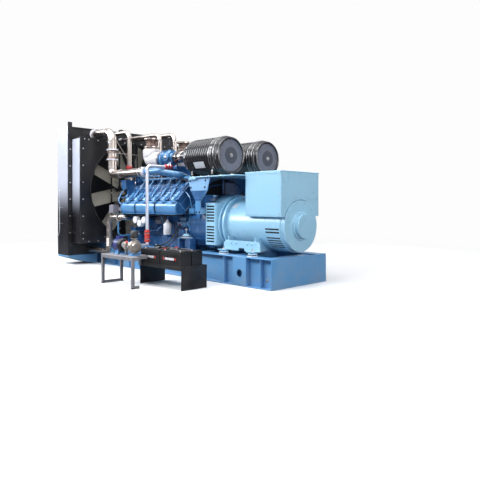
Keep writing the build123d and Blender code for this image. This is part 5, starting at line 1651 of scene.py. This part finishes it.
# %% Battery cables
cable_thickness = 0.018
cable_routes = {
    "plus": (0.935, [
        (0.812, -1.230, 0.556), (0.812, -1.145, 0.556), (0.796, -1.020, 0.602), (0.745, -0.895, 0.668),
        (0.668, -0.785, 0.728), (0.570, -0.690, 0.775), (0.480, -0.590, 0.808), (0.408, -0.476, 0.841)]),
    "minus": (1.268, [
        (1.167, -1.435, 0.556), (1.167, -1.360, 0.556), (1.130, -1.282, 0.566), (1.055, -1.195, 0.582),
        (0.960, -1.105, 0.593), (0.865, -1.005, 0.600), (0.775, -0.900, 0.616), (0.700, -0.795, 0.652),
        (0.620, -0.705, 0.700), (0.540, -0.625, 0.752), (0.480, -0.545, 0.798), (0.452, -0.468, 0.826)])}
for end, (cable_length, route) in cable_routes.items():
    curve = bpy.data.curves.new("battery_lead_" + end, "CURVE")
    curve.dimensions = "3D"
    curve.bevel_depth = cable_thickness / 2
    curve.bevel_resolution = 5
    curve.resolution_u = 16
    curve.use_fill_caps = True
    line = curve.splines.new("NURBS")
    line.points.add(len(route) - 1)
    for point, place in zip(line.points, route):
        point.co = (*place, 1.0)
    line.order_u = 3
    line.use_endpoint_u = True
    lead = bpy.data.objects.new("battery_lead_" + end, curve)
    bpy.context.collection.objects.link(lead)
    curve.materials.append(rubber)
    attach(lead, "set")
    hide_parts("battery_cable_" + end)
    print("cable", end, cable_length, "m")

# %% [markdown]
# The set stands on a plain pale floor. Seen by the camera the floor melts into white a few
# metres off. Towards the set it is darker, as real concrete is, so that it doesn't light the
# undersides from below.

# %% Floor
bpy.context.scene.view_settings.view_transform = "Standard"
floor_half, melt_start, melt_end = 30.0, 4.5, 9.0
floor_data = bpy.data.meshes.new("floor")
floor_corners = [(-floor_half, -floor_half, 0), (floor_half, -floor_half, 0), (floor_half, floor_half, 0),
                 (-floor_half, floor_half, 0)]
floor_data.from_pydata(floor_corners, [], [(0, 1, 2, 3)])
floor = bpy.data.objects.new("floor", floor_data)
bpy.context.collection.objects.link(floor)
floor_paint = bpy.data.materials.new("pale_floor_paint")
floor_paint.use_nodes = True
tree = floor_paint.node_tree
shader = tree.nodes["Principled BSDF"]
shader.inputs["Roughness"].default_value = 0.9
shader.inputs["Specular IOR Level"].default_value = 0.2
floor_place = add(tree, "TexCoord").outputs["Object"]
far_off = add(tree, "VectorMath", {0: floor_place}, operation="LENGTH").outputs["Value"]
melt = add(tree, "MapRange", {"Value": far_off, "From Min": melt_start, "From Max": melt_end},
           interpolation_type="SMOOTHSTEP").outputs["Result"]
direct = add(tree, "LightPath").outputs["Is Camera Ray"]
melt = add(tree, "Math", {0: melt, 1: direct}, operation="MULTIPLY").outputs["Value"]
seen_tone = add(tree, "Mix", {0: direct, 6: linear("6c6c70"), 7: linear("f4f4f4")},
                data_type="RGBA").outputs[2]
tree.links.new(seen_tone, shader.inputs["Base Color"])
glow = add(tree, "Emission", {"Color": linear("fdfdfd"), "Strength": 1.0})
blend = add(tree, "MixShader", {0: melt, 1: shader.outputs[0], 2: glow.outputs[0]})
tree.links.new(blend.outputs[0], tree.nodes["Material Output"].inputs["Surface"])
floor_data.materials.append(floor_paint)
print("floor melts from", melt_start, "to", melt_end, "m")

# %% [markdown]
# The world is white to the eye. Shiny metal mirrors a sky that is dim below and bright above,
# which gives its round shapes a dark and a light side. For all else it is a weak blue fill.

# %% World
world = bpy.data.worlds.new("studio")
bpy.context.scene.world = world
world.use_nodes = True
tree = world.node_tree
tree.nodes.clear()
rays = add(tree, "LightPath")
seen = add(tree, "Math", {0: rays.outputs["Is Camera Ray"], 1: rays.outputs["Is Glossy Ray"]},
           operation="MAXIMUM").outputs["Value"]
seen = add(tree, "Math", {0: seen, 1: rays.outputs["Is Transmission Ray"]},
           operation="MAXIMUM").outputs["Value"]
fill = add(tree, "Background", {"Color": linear("e8eefa"), "Strength": 0.28})
white = add(tree, "Background", {"Color": linear("fdfdfd"), "Strength": 1.0})
sky_height = add(tree, "SeparateXYZ", {"Vector": add(tree, "TexCoord").outputs["Generated"]}).outputs["Z"]
sky_light = add(tree, "MapRange", {"Value": sky_height, "From Min": -0.1, "From Max": 0.7, "To Min": 0.14,
                                   "To Max": 1.1}).outputs["Result"]
mirrored = add(tree, "Background", {"Color": linear("f4f8ff"), "Strength": sky_light})
sharp = add(tree, "MixShader", {0: rays.outputs["Is Camera Ray"], 1: mirrored.outputs[0],
                                2: white.outputs[0]})
mixed = add(tree, "MixShader", {0: seen, 1: fill.outputs[0], 2: sharp.outputs[0]})
add(tree, "OutputWorld", {"Surface": mixed.outputs[0]})
print("world with", len(tree.nodes), "nodes")

# %% [markdown]
# Five large soft lamps stand for daylight indoors: from above, from the service side, weaker
# from the end and the far side, and from a long low lamp beyond the radiator that draws the
# line of light along the air manifold.

# %% Lamps
def lamp(name, place, target, size, watts, code="ffffff"):
    """A large soft rectangular lamp that faces a target."""
    data = bpy.data.lights.new(name, "AREA")
    data.shape = "RECTANGLE"
    data.size, data.size_y = size
    data.energy = watts
    data.color = linear(code)[:3]
    thing = bpy.data.objects.new(name, data)
    thing.location = place
    thing.rotation_euler = (Vector(target) - Vector(place)).to_track_quat("-Z", "Y").to_euler()
    bpy.context.collection.objects.link(thing)
    print(name, watts, "W")


middle = (0, 0, 1.2)
lamp("roof_lamp", (0.5, -1.2, 6.5), middle, (7, 4), 430)
lamp("window_lamp", (-0.5, -7.0, 6.0), middle, (8, 3), 780, "f6faff")
lamp("end_lamp", (8.5, -1.0, 2.6), middle, (5, 3), 225)
lamp("skylight", (-7.6, -4.4, 4.6), (0.5, -0.5, 1.0), (10, 2.0), 560, "f8fbff")
lamp("far_lamp", (1.0, 8.0, 4.0), middle, (7, 4), 220)

# %% [markdown]
# The camera stands off the alternator's corner, level and 1.2 m above the floor. Its picture
# is shifted down a little instead of tilted, because the set's upright lines stay upright.

# %% Camera
camera_data = bpy.data.cameras.new("camera")
camera = bpy.data.objects.new("camera", camera_data)
bpy.context.collection.objects.link(camera)
picture_side = 480
focal_pixels = 500
horizon_pixel = 203.5
camera_data.sensor_width = 36.0
camera_data.lens = camera_data.sensor_width * focal_pixels / picture_side
camera_data.shift_y = -(picture_side / 2 - horizon_pixel) / picture_side
camera.location = (7.128, -5.766, 1.2)
camera.rotation_euler = (math.radians(90), 0, math.radians(45))
bpy.context.scene.camera = camera
print("camera", tuple(camera.location))
